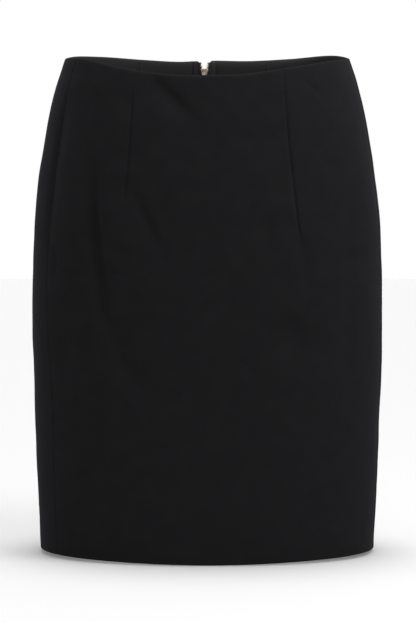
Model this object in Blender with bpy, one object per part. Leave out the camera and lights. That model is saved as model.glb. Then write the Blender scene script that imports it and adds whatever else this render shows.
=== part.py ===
"""Pencil skirt, filled out as it is worn, with an exposed metal zip at the centre back.

Metres, +Z up. The front faces -Y, and +X is the wearer's left. The origin is the centre of
the waist, level with the tops of the side seams, which is where the wearer holds the skirt.

Every piece of cloth is a closed wall between two offsets of one surface, the form. A point
of the form is given by its height and by its angle about Z from the centre front, positive
towards the wearer's left. The same point laid flat is given by its height and its arc, the
distance from the centre front line around the skirt.
"""

from collections import namedtuple

import bmesh
import bpy
import numpy as np
from mathutils import Matrix, Vector

# ---------------------------------------------------------------- driving dimensions

MM = 0.001

CLOTH = 1.2 * MM               # a single layer of the skirt cloth, with its nap
TURNED = 2.1 * MM              # the wall where the cloth is turned in and pressed double
WAIST_TURN = 25 * MM           # depth turned in along the waist
HEM_TURN = 30 * MM             # depth turned up along the hem
TURN_STEP = 1.5 * MM           # the wall goes from double to single over this height
EDGE_ROLL = 0.5 * MM           # how far a pressed edge rounds off on each face
ROLL_HEIGHT = 1.2 * MM         # height of that rounding at the waist and the hem
SEAM_GAP = 0.3 * MM            # between the edges of two panels
SEAM_WIDTH = 2.0 * MM          # half the width of the hollow that a seam or a dart makes
DART_DEPTH = 1.1 * MM          # depth of the hollow along a dart
DART_RIDGE = 1.3 * MM          # the dart's own cloth, folded away inside
DART_FADE = 20 * MM            # a dart flattens over this height above its tip

ROUNDNESS = 2.2                # exponent of the level sections: 2 would be an ellipse
TWIST = np.radians(2.0)        # the whole skirt sits turned on the figure by this
LEFT_SEAM = np.radians(80.5)   # side seams, from the centre front, left and right of the wearer
RIGHT_SEAM = np.radians(74.4)
RIGHT_SEAM_SWING = np.radians(2.8)  # the right one runs forward by this towards the hem
SWING_TOP = -245 * MM
SWING_LENGTH = 130 * MM
HOLLOW_DEPTH = 2.8 * MM        # the cloth is drawn in along the upper right side seam
HOLLOW_WIDTH = 5.0 * MM
HOLLOW_MIDDLE = -125 * MM
HOLLOW_LENGTH = 75 * MM        # half of it, as HOLLOW_WIDTH is
HIP_HEIGHT = -280 * MM         # the level where the girth is largest

HEM_HEIGHT = -534.9 * MM       # at the side seams and behind
HEM_DROP = 3.5 * MM            # how much lower the hem is at the centre front

ZIP_LENGTH = 187 * MM          # waist edge to the end of the zip's opening
ZIP_CLOSE = 7 * MM             # the opening narrows to the seam over this height
ZIP_HALF_GAP = 4.3 * MM        # half the opening that shows the teeth
ZIP_BAND = 16 * MM             # beside the zip the waist edge is not doubled
TAPE = 0.8 * MM
TAPE_GAP = 0.4 * MM            # from the panel to the tape that lies behind it
TAPE_OUTER = 13.5 * MM         # outer edge of a tape, from the centre back line
TAPE_TAIL = 12 * MM            # a tape runs on below the opening, inside
CHAIN_HALF_WIDTH = 2.3 * MM
CHAIN_THICKNESS = 2.0 * MM

SLIDER_BELOW_EDGE = 7.6 * MM   # top of the slider, under the waist edge
SLIDER_LENGTH = 10.5 * MM
PLATE_INNER = 1.3 * MM         # faces of a slider plate, from the chain's middle plane
PLATE_OUTER = 2.1 * MM
BRIDGE_HALF_WIDTH = 1.1 * MM
HINGE_DOWN = 6.8 * MM          # pull tab's axis, below the top of the slider
HINGE_OUT = 3.2 * MM           # and out from the chain's middle plane
TAB_HALF_THICKNESS = 0.6 * MM
TAB_SLOT = (0.6 * MM, 6.2 * MM)
TAB_SLOT_HALF_WIDTH = 1.4 * MM

# ---------------------------------------------------------------- tables

Section = namedtuple("Section", "height half_width front_depth back_depth")
SECTIONS_MM = (
    Section(-545, 183.2, 112.0, 109.5),
    Section(-480, 186.2, 111.8, 113.0),
    Section(-415, 188.8, 111.6, 116.0),
    Section(-350, 191.0, 111.2, 119.3),
    Section(-300, 191.9, 110.8, 121.5),
    Section(-247, 191.8, 109.9, 122.5),
    Section(-206, 190.6, 108.7, 122.2),
    Section(-165, 188.2, 107.0, 120.0),
    Section(-132, 184.7, 104.6, 116.6),
    Section(-99, 179.8, 101.6, 111.8),
    Section(-66, 174.2, 98.0, 106.0),
    Section(-33, 166.2, 93.5, 99.0),
    Section(0, 155.7, 88.0, 92.0),
    Section(12, 152.0, 86.0, 89.6),
)

WaistEdge = namedtuple("WaistEdge", "angle height")
WAIST_EDGE = (
    WaistEdge(-195, 5.9),
    WaistEdge(-182, 6.7),
    WaistEdge(-159, 5.4),
    WaistEdge(-138, 7.0),
    WaistEdge(-117, 8.5),
    WaistEdge(-104, 7.0),
    WaistEdge(-90, 1.9),
    WaistEdge(-68, -3.2),
    WaistEdge(-50, -14.0),
    WaistEdge(-26, -21.7),
    WaistEdge(0, -22.9),
    WaistEdge(30, -20.2),
    WaistEdge(52, -12.4),
    WaistEdge(70, -4.0),
    WaistEdge(90, 2.1),
    WaistEdge(107, 8.3),
    WaistEdge(130, 7.0),
    WaistEdge(150, 5.9),
    WaistEdge(178, 6.7),
    WaistEdge(201, 5.4),
)

ZipEdge = namedtuple("ZipEdge", "below_waist half_gap")
ZIP_MOUTH = (
    ZipEdge(0, 6.5),
    ZipEdge(3, 5.7),
    ZipEdge(6, 4.9),
    ZipEdge(10, 4.4),
    ZipEdge(16, 4.3),
)

Dart = namedtuple("Dart", "face across_top across_tip tip_height bow")
DARTS = {
    "front_right": Dart("front", -79.0, -88.6, -164, 2.0),
    "front_left": Dart("front", 80.0, 98.8, -204, 1.3),
    "back_right": Dart("back", -76.0, -79.0, -128, 1.5),
    "back_left": Dart("back", 69.0, 72.0, -128, 1.5),
}
DART_TOP = -18                 # level of a dart's across_top

# A soft trough: half widths on its two sides (towards -arc and +arc where it runs down),
# depth (minus for a ridge), and where it runs
Fold = namedtuple("Fold", "face before after depth points")
FOLDS = (
    Fold("front", 9.0, 6.5, 8.0, ((-124, -104), (-120.5, -138), (-119, -171), (-116, -204),
                                  (-111.5, -238), (-107, -275))),
    Fold("front", 10.0, 9.0, 2.2, ((-108, -262), (-100, -302), (-87, -330), (-66, -356))),
    Fold("front", 13.0, 12.0, -1.8, ((-145, -76), (-142, -120), (-142, -180), (-139, -240))),
    Fold("front", 8.0, 5.5, 2.9, ((-62, -18), (-52, -31), (-42, -41), (-32, -51), (-22, -61),
                                  (-10, -74))),
    Fold("front", 9.0, 6.0, 2.0, ((-84, -136), (-69, -164), (-59, -188), (-46, -214))),
    Fold("front", 8.0, 8.0, 1.3, ((97, -190), (103, -220), (106, -250))),
    Fold("front", 15.0, 15.0, 3.0, ((72, -294), (90, -305), (110, -308))),
    Fold("front", 10.0, 10.0, 1.5, ((-155, -272), (-152, -310), (-149, -350))),
    Fold("front", 12.0, 12.0, 1.0, ((149, -120), (152, -250), (150, -400))),
    Fold("back", 11.0, 11.0, 2.2, ((150, -262), (112, -276), (70, -292), (30, -300))),
    Fold("back", 11.0, 11.0, 2.0, ((-154, -248), (-116, -266), (-78, -286), (-34, -297))),
    Fold("back", 9.0, 9.0, 1.5, ((-14, -204), (-40, -222), (-72, -232))),
    Fold("back", 9.0, 9.0, 1.4, ((12, -200), (34, -224), (60, -240))),
    Fold("back", 12.0, 12.0, 1.4, ((-140, -110), (-148, -200), (-150, -330), (-146, -420))),
    Fold("back", 12.0, 12.0, 1.3, ((138, -90), (146, -190), (149, -300), (147, -380))),
)

SliderRow = namedtuple("SliderRow", "down half_width")
SLIDER_OUTLINE = (
    SliderRow(0.0, 1.7),
    SliderRow(0.5, 2.8),
    SliderRow(1.6, 3.7),
    SliderRow(3.2, 3.9),
    SliderRow(5.4, 3.6),
    SliderRow(8.6, 3.2),
    SliderRow(9.9, 2.9),
    SliderRow(10.5, 2.1),
)
WEDGE_OUTLINE = (
    SliderRow(0.5, 0.9),
    SliderRow(1.4, 1.3),
    SliderRow(4.2, 0.25),
)
TAB_OUTLINE = (
    SliderRow(-0.6, 1.9),
    SliderRow(0.1, 2.5),
    SliderRow(5.6, 2.5),
    SliderRow(7.4, 1.9),
    SliderRow(9.5, 2.0),
    SliderRow(13.0, 2.9),
    SliderRow(22.0, 3.1),
    SliderRow(24.2, 2.7),
    SliderRow(25.4, 1.6),
    SliderRow(25.8, 0.6),
)

# ---------------------------------------------------------------- the form


def read_table(rows, column, at):
    """The named column at the given values of the first column, on a smooth curve."""
    keys = np.array([row[0] for row in rows], dtype=float)
    values = np.array([getattr(row, column) for row in rows], dtype=float)
    slopes = np.gradient(values, keys)
    at = np.clip(at, keys[0], keys[-1])
    low = np.clip(np.searchsorted(keys, at) - 1, 0, len(keys) - 2)
    span = keys[low + 1] - keys[low]
    share = (at - keys[low]) / span
    rise = share * share * (3 - 2 * share)
    return (values[low] * (1 - rise) + values[low + 1] * rise
            + span * share * (1 - share) * (slopes[low] * (1 - share) - slopes[low + 1] * share))


def section_size(column, height):
    """A size of the level section, in metres, at a height in metres."""
    return read_table(SECTIONS_MM, column, height / MM) * MM


def form_point(height, angle):
    """Points of the form, as an array whose last axis is X, Y and Z."""
    height, angle = np.broadcast_arrays(height, angle)
    wide = section_size("half_width", height)
    deep = np.where(np.cos(angle) > 0, section_size("front_depth", height),
                    section_size("back_depth", height))
    radius = (np.abs(np.sin(angle) / wide) ** ROUNDNESS
              + np.abs(np.cos(angle) / deep) ** ROUNDNESS) ** (-1 / ROUNDNESS)
    return np.stack([radius * np.sin(angle), -radius * np.cos(angle), height], axis=-1)


def form_normal(height, angle):
    """Unit normals of the form, pointing out."""
    around = form_point(height, angle + 1e-3) - form_point(height, angle - 1e-3)
    upward = form_point(height + 1e-3, angle) - form_point(height - 1e-3, angle)
    normal = np.cross(around, upward)
    return normal / np.linalg.norm(normal, axis=-1, keepdims=True)


ANGLES = np.radians(np.arange(-200, 200.5, 0.5))


def measure_hip():
    """Arc of each of ANGLES around the hip, with zero on the centre front line."""
    points = form_point(HIP_HEIGHT, ANGLES)
    steps = np.linalg.norm(np.diff(points, axis=0), axis=-1)
    arcs = np.concatenate([[0.0], np.cumsum(steps)])
    return arcs - np.interp(TWIST, ANGLES, arcs)


HIP_ARCS = measure_hip()
HIP_HALF_WIDTH = float(section_size("half_width", np.array(HIP_HEIGHT)))


def arc_of(height, angle):
    """Arc of a point of the form: the level sections are taken as alike in shape."""
    return np.interp(angle, ANGLES, HIP_ARCS) * section_size("half_width", height) / HIP_HALF_WIDTH


def angle_of(height, arc):
    """Angle of the point at an arc."""
    return np.interp(arc * HIP_HALF_WIDTH / section_size("half_width", height), HIP_ARCS, ANGLES)


def angle_across(face, height, across):
    """Angle of the point of the front or back that lies at X = across."""
    wide = section_size("half_width", height)
    deep = section_size(face + "_depth", height)
    ahead = deep * (1 - np.minimum(np.abs(across) / wide, 0.999) ** ROUNDNESS) ** (1 / ROUNDNESS)
    return np.arctan2(across, ahead if face == "front" else -ahead)


# ---------------------------------------------------------------- edges and lines


def waist_edge(angle):
    """Height of the waist edge."""
    return read_table(WAIST_EDGE, "height", np.degrees(angle)) * MM


def hem_edge(angle):
    """Height of the hem."""
    return HEM_HEIGHT - HEM_DROP * np.maximum(np.cos(angle), 0) ** 2


def side_seam(side):
    """Line of a side seam: side is 1 for the wearer's left, -1 for the right."""
    def line(height):
        if side > 0:
            return arc_of(height, TWIST + LEFT_SEAM)
        share = np.clip((SWING_TOP - height) / SWING_LENGTH, 0, 1)
        swing = RIGHT_SEAM_SWING * share * share * (3 - 2 * share)
        return arc_of(height, TWIST - RIGHT_SEAM + swing)
    return line


def back_seam(side):
    """Line of the centre back, reached around the wearer's left or right."""
    return lambda height: arc_of(height, TWIST + side * np.pi)


def dart_line(name):
    """Line of a dart; below its tip the line goes straight on, with nothing on it."""
    dart = DARTS[name]

    def line(height):
        share = np.clip((DART_TOP * MM - height) / ((DART_TOP - dart.tip_height) * MM), 0, 1)
        across = dart.across_top + (dart.across_tip - dart.across_top) * share ** dart.bow
        return arc_of(height, angle_across(dart.face, height, across * MM))
    return line


def dart_strength(name, height):
    """How much of a dart there is at a height: 1 well above its tip, 0 at the tip."""
    share = np.clip((height - DARTS[name].tip_height * MM) / DART_FADE, 0, 1)
    return share * share * (3 - 2 * share)


def zip_half_gap(height):
    """Half the distance between the back panels at the centre back."""
    below = waist_edge(TWIST + np.pi) - height
    mouth = read_table(ZIP_MOUTH, "half_gap", below / MM) * MM
    closing = np.clip((ZIP_LENGTH - below) / ZIP_CLOSE, 0, 1)
    return SEAM_GAP / 2 + (mouth - SEAM_GAP / 2) * closing


# ---------------------------------------------------------------- relief of the cloth


def fold_path(fold):
    """A fold's points laid flat, and the share of its length at each."""
    across, height = np.array(fold.points, dtype=float).T * MM
    flat = np.stack([arc_of(height, angle_across(fold.face, height, across)), height], axis=-1)
    lengths = np.concatenate([[0.0], np.cumsum(np.linalg.norm(np.diff(flat, axis=0), axis=-1))])
    return flat, lengths / lengths[-1]


def trough(height, arc, fold):
    """How far one fold moves the cloth out (or in, when negative)."""
    here = np.stack(np.broadcast_arrays(arc, height), axis=-1)
    flat, shares = fold_path(fold)
    nearest = np.full(here.shape[:-1], 1e9)
    along = np.zeros(here.shape[:-1])
    beside = np.zeros(here.shape[:-1])
    for start, end, low, high in zip(flat[:-1], flat[1:], shares[:-1], shares[1:]):
        run = end - start
        away = here - start
        share = np.clip(away @ run / (run @ run), 0, 1)
        distance = np.linalg.norm(away - share[..., None] * run, axis=-1)
        closer = distance < nearest
        nearest = np.where(closer, distance, nearest)
        along = np.where(closer, low + (high - low) * share, along)
        beside = np.where(closer, run[0] * away[..., 1] - run[1] * away[..., 0], beside)
    width = np.where(beside > 0, fold.after, fold.before) * MM
    profile = np.exp(-(nearest / width) ** 2)
    return -fold.depth * MM * profile * np.sin(np.pi * (0.08 + 0.84 * along))


def fold_relief(height, arc):
    """How far the largest folds move the cloth."""
    from_seam = np.abs(arc - side_seam(-1)(height)) / HOLLOW_WIDTH
    hollow = np.exp(-from_seam ** 2 - ((height - HOLLOW_MIDDLE) / HOLLOW_LENGTH) ** 4)
    return sum(trough(height, arc, fold) for fold in FOLDS) - HOLLOW_DEPTH * hollow


# ---------------------------------------------------------------- walls of cloth

# A column stands at a share of the way from one line to the next, moved along by an offset,
# which may depend on the height. A row stands at a share of the way from the top edge to the
# bottom edge, moved by an offset.
Column = namedtuple("Column", "line share offset mark")
Row = namedtuple("Row", "share offset")
EDGE, DART, PLAIN = "edge", "dart", "plain"


def at_height(value, height):
    """A value that may be a function of the height."""
    return value(height) if callable(value) else value


def panel_columns(counts, start, end):
    """Columns of a panel: counts gives how many steps there are from each line to the next.

    start and end are the distances of the closer columns at its two edges from the first and
    last lines, the edge itself first.
    """
    last = len(counts) - 1
    columns = [Column(0, 0.0, offset, PLAIN) for offset in start]
    for line, count in enumerate(counts):
        if line > 0:
            columns.append(Column(line, 0.0, -SEAM_WIDTH, PLAIN))
            columns.append(Column(line, 0.0, 0.0, DART))
            columns.append(Column(line, 0.0, SEAM_WIDTH, PLAIN))
        columns += [Column(line, step / count, 0.0, PLAIN) for step in range(1, count)]
    columns += [Column(last, 1.0, shifted(0.0, offset, -1), PLAIN) for offset in reversed(end)]
    columns[0] = columns[0]._replace(mark=EDGE)
    columns[-1] = columns[-1]._replace(mark=EDGE)
    return columns


def shifted(base, offset, sign=1):
    """A line or a value moved along by an offset; either may depend on the height."""
    return lambda height: at_height(base, height) + sign * at_height(offset, height)


def panel_rows():
    """Rows of a panel, closer together above the hips, where the folds are."""
    rows = [Row(0.0, 0.0), Row(0.0, -ROLL_HEIGHT), Row(0.0, -WAIST_TURN),
            Row(0.0, -WAIST_TURN - TURN_STEP)]
    upper = np.linspace(0.078, 0.64, 15)
    lower = np.linspace(0.64, 0.93, 5)[1:]
    rows += [Row(float(share), 0.0) for share in (*upper, *lower)]
    rows += [Row(1.0, HEM_TURN + TURN_STEP), Row(1.0, HEM_TURN), Row(1.0, ROLL_HEIGHT),
             Row(1.0, 0.0)]
    return rows


def lay_out(lines, columns, rows, top, bottom):
    """Heights, angles and arcs of the grid, as arrays of rows by columns."""
    heights = np.full((len(rows), len(columns)), HIP_HEIGHT)
    arcs = np.zeros_like(heights)
    shares = np.array([row.share for row in rows])[:, None]
    offsets = np.array([row.offset for row in rows])[:, None]
    for _ in range(6):
        for number, column in enumerate(columns):
            start = lines[column.line](heights[:, number])
            end = lines[column.line + 1](heights[:, number])
            arcs[:, number] = (start + (end - start) * column.share
                               + at_height(column.offset, heights[:, number]))
        angles = angle_of(heights, arcs)
        heights = top(angles) * (1 - shares) + bottom(angles) * shares + offsets
    return heights, angles, arcs


def offset_points(heights, angles, offsets):
    """Points of the form moved out along its normals."""
    return form_point(heights, angles) + form_normal(heights, angles) * offsets[..., None]


def closed_wall(name, outer, inner, material):
    """One closed body between two grids of points, rows running down and columns to +arc."""
    mesh = bpy.data.meshes.new(name)
    build = bmesh.new()
    grids = [[[build.verts.new(point) for point in line] for line in grid]
             for grid in (outer, inner)]
    row_count, column_count = outer.shape[:2]
    for row in range(row_count - 1):
        for column in range(column_count - 1):
            for grid, outward in zip(grids, (True, False)):
                corners = [grid[row][column], grid[row + 1][column],
                           grid[row + 1][column + 1], grid[row][column + 1]]
                build.faces.new(corners if outward else corners[::-1])
    front, back = grids
    for column in range(column_count - 1):
        build.faces.new([front[0][column], front[0][column + 1],
                         back[0][column + 1], back[0][column]])
        build.faces.new([front[-1][column + 1], front[-1][column],
                         back[-1][column], back[-1][column + 1]])
    for row in range(row_count - 1):
        build.faces.new([front[row + 1][0], front[row][0], back[row][0], back[row + 1][0]])
        build.faces.new([front[row][-1], front[row + 1][-1], back[row + 1][-1], back[row][-1]])
    bmesh.ops.triangulate(build, faces=build.faces[:], quad_method="SHORT_EDGE")
    build.to_mesh(mesh)
    build.free()
    return add_object(name, mesh, material)


def add_object(name, mesh, material):
    """Put a mesh in the scene as a smooth object with one material."""
    mesh.materials.append(material)
    mesh.shade_smooth()
    mesh.set_sharp_from_angle(angle=np.radians(40))
    part = bpy.data.objects.new(name, mesh)
    bpy.context.scene.collection.objects.link(part)
    return part


def panel(name, lines, counts, edges, darts, material):
    """A cut panel of the skirt with its turned edges, its darts and its share of the folds."""
    columns = panel_columns(counts, *edges)
    rows = panel_rows()
    heights, angles, arcs = lay_out(lines, columns, rows, waist_edge, hem_edge)
    relief = fold_relief(heights, arcs)

    from_back = np.minimum(np.abs(arcs - back_seam(1)(heights)),
                           np.abs(arcs - back_seam(-1)(heights)))
    near_waist = waist_edge(angles) - heights <= WAIST_TURN + TURN_STEP / 2
    near_hem = heights - hem_edge(angles) <= HEM_TURN + TURN_STEP / 2
    doubled = near_hem | (near_waist & (from_back > ZIP_BAND))
    outer = relief.copy()
    inner = relief - np.where(doubled, TURNED, CLOTH)

    pressed = np.array([column.mark == EDGE for column in columns])
    outer[:, pressed] -= EDGE_ROLL
    outer[[0, -1]] -= EDGE_ROLL
    inner[[0, -1]] += np.where(doubled[[0, -1]], EDGE_ROLL, 0)
    outer[[0, -1]] += np.where(pressed, EDGE_ROLL, 0)

    creases = [number for number, column in enumerate(columns) if column.mark == DART]
    for number, dart in zip(creases, darts):
        strength = dart_strength(dart, heights[:, number])
        outer[:, number] -= DART_DEPTH * strength
        inner[:, number] -= DART_RIDGE * strength
    return closed_wall(name, offset_points(heights, angles, outer),
                       offset_points(heights, angles, inner), material)


SEWN_EDGE = (SEAM_GAP / 2, SEAM_GAP / 2 + SEAM_WIDTH)
ZIP_EDGE = (zip_half_gap, shifted(zip_half_gap, SEAM_WIDTH), ZIP_BAND - 1 * MM, ZIP_BAND + 1 * MM)


def front_panel(material):
    """The front, cut in one piece, with a dart on each side."""
    lines = [side_seam(-1), dart_line("front_right"), dart_line("front_left"), side_seam(1)]
    return panel("front_panel", lines, (17, 14, 11), (SEWN_EDGE, SEWN_EDGE),
                 ("front_right", "front_left"), material)


def back_panel_left(material):
    """The wearer's left half of the back."""
    lines = [side_seam(1), dart_line("back_left"), back_seam(1)]
    return panel("back_panel_left", lines, (11, 4), (SEWN_EDGE, ZIP_EDGE), ("back_left",), material)


def back_panel_right(material):
    """The wearer's right half of the back."""
    lines = [back_seam(-1), dart_line("back_right"), side_seam(-1)]
    return panel("back_panel_right", lines, (4, 11), (ZIP_EDGE, SEWN_EDGE), ("back_right",), material)


# ---------------------------------------------------------------- the zip


def strip(name, side, lines, column_count, outer, thickness, span, row_count, material):
    """A strip under the back panels: span gives its top and bottom, below the waist edge."""
    top, bottom = span
    columns = [Column(0, step / column_count, 0.0, PLAIN) for step in range(column_count + 1)]
    rows = [Row(step / row_count, 0.0) for step in range(row_count + 1)]
    edge = float(waist_edge(TWIST + side * np.pi))
    heights, angles, arcs = lay_out(lines, columns, rows,
                                    lambda angle: np.full_like(angle, edge - top),
                                    lambda angle: np.full_like(angle, edge - bottom))
    relief = fold_relief(heights, arcs)
    return closed_wall(name, offset_points(heights, angles, relief - outer),
                       offset_points(heights, angles, relief - outer - thickness), material)


def tape_inset(height):
    """Inner edge of a tape from the centre back line: it opens with the zip's mouth."""
    return zip_half_gap(np.maximum(height, -0.1)) - ZIP_HALF_GAP + CHAIN_HALF_WIDTH + SEAM_GAP


def zip_tape(name, side, material):
    """A woven tape behind one edge of the opening."""
    inner_edge = shifted(back_seam(side), tape_inset, -side)
    outer_edge = shifted(back_seam(side), TAPE_OUTER, -side)
    lines = [outer_edge, inner_edge] if side > 0 else [inner_edge, outer_edge]
    span = (0.8 * MM, ZIP_LENGTH + TAPE_TAIL)
    return strip(name, side, lines, 2, CLOTH + TAPE_GAP, TAPE, span, 16, material)


def chain_depth():
    """Depth of the chain's middle plane under the outer face of the cloth."""
    return CLOTH + TAPE_GAP + TAPE / 2


def zip_chain(material):
    """The closed teeth, as one plain strip from inside the slider to the bottom stop."""
    lines = [shifted(back_seam(1), CHAIN_HALF_WIDTH, -1), shifted(back_seam(1), CHAIN_HALF_WIDTH)]
    span = (SLIDER_BELOW_EDGE + 4.8 * MM, ZIP_LENGTH - ZIP_CLOSE - 0.5 * MM)
    return strip("zip_chain", 1, lines, 2, chain_depth() - CHAIN_THICKNESS / 2,
                 CHAIN_THICKNESS, span, 16, material)


def slider_frame():
    """Slider axes at the top of the chain: X across, Y down along the zip, Z outward."""
    angle = TWIST + np.pi
    top = float(waist_edge(angle)) - SLIDER_BELOW_EDGE
    low = top - SLIDER_LENGTH
    out = Vector(form_normal(np.array((top + low) / 2), angle))
    start = Vector(form_point(np.array(top), angle)) - out * chain_depth()
    down = (Vector(form_point(np.array(low), angle)) - Vector(form_point(np.array(top), angle)))
    down = (down - out * down.dot(out)).normalized()
    across = down.cross(out)
    return Matrix.Translation(start) @ Matrix((across, down, out)).transposed().to_4x4()


def outline_prism(outline, low, high):
    """A prism on a symmetric outline in the XY plane, between two levels of Z."""
    side = [(row.half_width * MM, row.down * MM) for row in outline]
    ring = side + [(-across, down) for across, down in reversed(side)]
    build = bmesh.new()
    face = build.faces.new([build.verts.new((across, down, low)) for across, down in ring])
    extruded = bmesh.ops.extrude_face_region(build, geom=[face])
    verts = [item for item in extruded["geom"] if isinstance(item, bmesh.types.BMVert)]
    bmesh.ops.translate(build, verts=verts, vec=(0, 0, high - low))
    bmesh.ops.recalc_face_normals(build, faces=build.faces)
    return build


def profile_prism(profile, half_width):
    """A prism on a profile in the YZ plane, from -half_width to half_width along X."""
    build = bmesh.new()
    face = build.faces.new([build.verts.new((-half_width, down, out)) for down, out in profile])
    extruded = bmesh.ops.extrude_face_region(build, geom=[face])
    verts = [item for item in extruded["geom"] if isinstance(item, bmesh.types.BMVert)]
    bmesh.ops.translate(build, verts=verts, vec=(2 * half_width, 0, 0))
    bmesh.ops.recalc_face_normals(build, faces=build.faces)
    return build


def take_mesh(name, build):
    """Turn a bmesh into a mesh and free it."""
    mesh = bpy.data.meshes.new(name)
    build.to_mesh(mesh)
    build.free()
    return mesh


def add_tool(name, build, target, operation, material):
    """Join or cut a shape with the target, and keep the shape as a hidden guide."""
    tool = add_object(name, take_mesh(name, build), material)
    tool.hide_render = True
    tool.display_type = "WIRE"
    tool.matrix_world = target.matrix_world
    boolean = target.modifiers.new(name, "BOOLEAN")
    boolean.operation = operation
    boolean.solver = "EXACT"
    boolean.object = tool


def add_bevel(target, width):
    """Round the edges of a metal piece."""
    bevel = target.modifiers.new("rounded_edges", "BEVEL")
    bevel.width = width
    bevel.segments = 2
    bevel.limit_method = "ANGLE"
    bevel.angle_limit = np.radians(35)


def zip_slider(frame, material):
    """Slider body: two plates, the wedge between them and the bridge that holds the pull."""
    slider = add_object("zip_slider", take_mesh(
        "zip_slider", outline_prism(SLIDER_OUTLINE, PLATE_INNER, PLATE_OUTER)), material)
    slider.matrix_world = frame
    sunk = 0.2 * MM
    add_tool("slider_inner_plate", outline_prism(SLIDER_OUTLINE, -PLATE_OUTER, -PLATE_INNER),
             slider, "UNION", material)
    add_tool("slider_wedge", outline_prism(WEDGE_OUTLINE, -PLATE_INNER - sunk, PLATE_INNER + sunk),
             slider, "UNION", material)
    foot = PLATE_OUTER - sunk
    head, bar = 5.0 * MM, 0.9 * MM
    start, end = 1.6 * MM, 8.9 * MM
    slope = 0.8 * MM
    arch = [(start, foot), (start, head - slope), (start + slope, head), (end - slope, head),
            (end, head - slope), (end, foot), (end - bar, foot), (end - bar, head - bar - slope / 2),
            (end - bar - slope / 2, head - bar), (start + bar + slope / 2, head - bar),
            (start + bar, head - bar - slope / 2), (start + bar, foot)]
    add_tool("slider_bridge", profile_prism(arch, BRIDGE_HALF_WIDTH), slider, "UNION", material)
    add_bevel(slider, 0.2 * MM)
    return slider


def zip_pull(frame, material):
    """Pull tab, hung on the bridge by its slot; its origin is on the hinge axis."""
    tab = add_object("zip_pull", take_mesh(
        "zip_pull", outline_prism(TAB_OUTLINE, -TAB_HALF_THICKNESS, TAB_HALF_THICKNESS)), material)
    tab.matrix_world = frame @ Matrix.Translation((0, HINGE_DOWN, HINGE_OUT))
    slot = [SliderRow(end / MM, TAB_SLOT_HALF_WIDTH / MM) for end in TAB_SLOT]
    add_tool("pull_slot", outline_prism(slot, -2 * TAB_HALF_THICKNESS, 2 * TAB_HALF_THICKNESS),
             tab, "DIFFERENCE", material)
    add_bevel(tab, 0.25 * MM)
    return tab


# ---------------------------------------------------------------- materials and assembly


def make_material(name, colour, roughness, metallic):
    """A Principled material."""
    material = bpy.data.materials.new(name)
    material.use_nodes = True
    shader = material.node_tree.nodes["Principled BSDF"]
    shader.inputs["Base Color"].default_value = (*colour, 1)
    shader.inputs["Roughness"].default_value = roughness
    shader.inputs["Metallic"].default_value = metallic
    return material


def black_cloth(name):
    return make_material(name, (0.011, 0.011, 0.013), 0.85, 0)


def brass(name):
    return make_material(name, (0.66, 0.47, 0.23), 0.3, 1)


def main():
    for item in list(bpy.data.objects):
        bpy.data.objects.remove(item, do_unlink=True)
    front_panel(black_cloth("front_cloth"))
    back_panel_left(black_cloth("back_left_cloth"))
    back_panel_right(black_cloth("back_right_cloth"))
    zip_tape("zip_tape_left", 1, black_cloth("tape_left_weave"))
    zip_tape("zip_tape_right", -1, black_cloth("tape_right_weave"))
    zip_chain(brass("chain_brass"))
    frame = slider_frame()
    zip_slider(frame, brass("slider_brass"))
    zip_pull(frame, brass("pull_brass"))


main()
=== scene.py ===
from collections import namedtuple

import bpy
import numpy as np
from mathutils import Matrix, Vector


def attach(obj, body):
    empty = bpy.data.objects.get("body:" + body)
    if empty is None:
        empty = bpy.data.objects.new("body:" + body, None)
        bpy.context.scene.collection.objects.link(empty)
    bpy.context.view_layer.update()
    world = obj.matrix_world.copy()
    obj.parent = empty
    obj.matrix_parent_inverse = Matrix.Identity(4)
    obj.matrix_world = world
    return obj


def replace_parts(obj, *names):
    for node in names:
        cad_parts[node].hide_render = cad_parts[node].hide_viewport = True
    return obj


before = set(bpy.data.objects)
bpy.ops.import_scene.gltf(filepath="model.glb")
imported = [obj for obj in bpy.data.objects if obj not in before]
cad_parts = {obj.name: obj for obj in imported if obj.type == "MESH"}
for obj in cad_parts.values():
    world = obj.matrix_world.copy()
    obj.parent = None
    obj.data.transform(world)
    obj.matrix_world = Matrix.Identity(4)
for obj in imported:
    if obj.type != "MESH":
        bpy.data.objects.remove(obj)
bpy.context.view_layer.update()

# The looks of a black pencil skirt with an exposed brass zip. Metres, +Z up, front towards -Y.
# The cloth is fine shells on the form of the CAD panels, whose sizes and tables are repeated
# here, with the relief of the sewing added. Rows of tables are in millimetres and degrees.
# A place on the cloth is a height and an arc: the way round from the centre front line,
# positive to the wearer's left.

MM = 0.001


def table(columns, *rows):
    """Rows whose columns have names."""
    kind = namedtuple("Row", columns)
    return tuple(kind(*row) for row in rows)


# ---- sizes shared with the CAD

CLOTH = 1.2 * MM
TURNED = 2.1 * MM  # thickness where the waist edge and the hem are turned in
WAIST_TURN = 25 * MM
HEM_TURN = 30 * MM
SEAM_GAP = 0.3 * MM
DART_TOP = -18 * MM
DART_FADE = 20 * MM
ROUNDNESS = 2.2
TWIST = np.radians(2.0)
LEFT_SEAM = np.radians(80.5)  # the cloth sits pulled round a little: the seams are uneven
RIGHT_SEAM = np.radians(74.4)
RIGHT_SEAM_SWING = np.radians(2.8)
SWING_TOP = -245 * MM
SWING_LENGTH = 130 * MM
HOLLOW_DEPTH = 2.8 * MM  # the cloth is drawn in along the upper right side seam
HOLLOW_WIDTH = 5.0 * MM
HOLLOW_MIDDLE = -125 * MM
HOLLOW_LENGTH = 75 * MM
HIP_HEIGHT = -280 * MM
HEM_HEIGHT = -534.9 * MM
HEM_DROP = 3.5 * MM
ZIP_LENGTH = 187 * MM
ZIP_CLOSE = 7 * MM
ZIP_BAND = 16 * MM
TAPE = 0.8 * MM
TAPE_GAP = 0.4 * MM
TAPE_OUTER = 13.5 * MM
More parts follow.
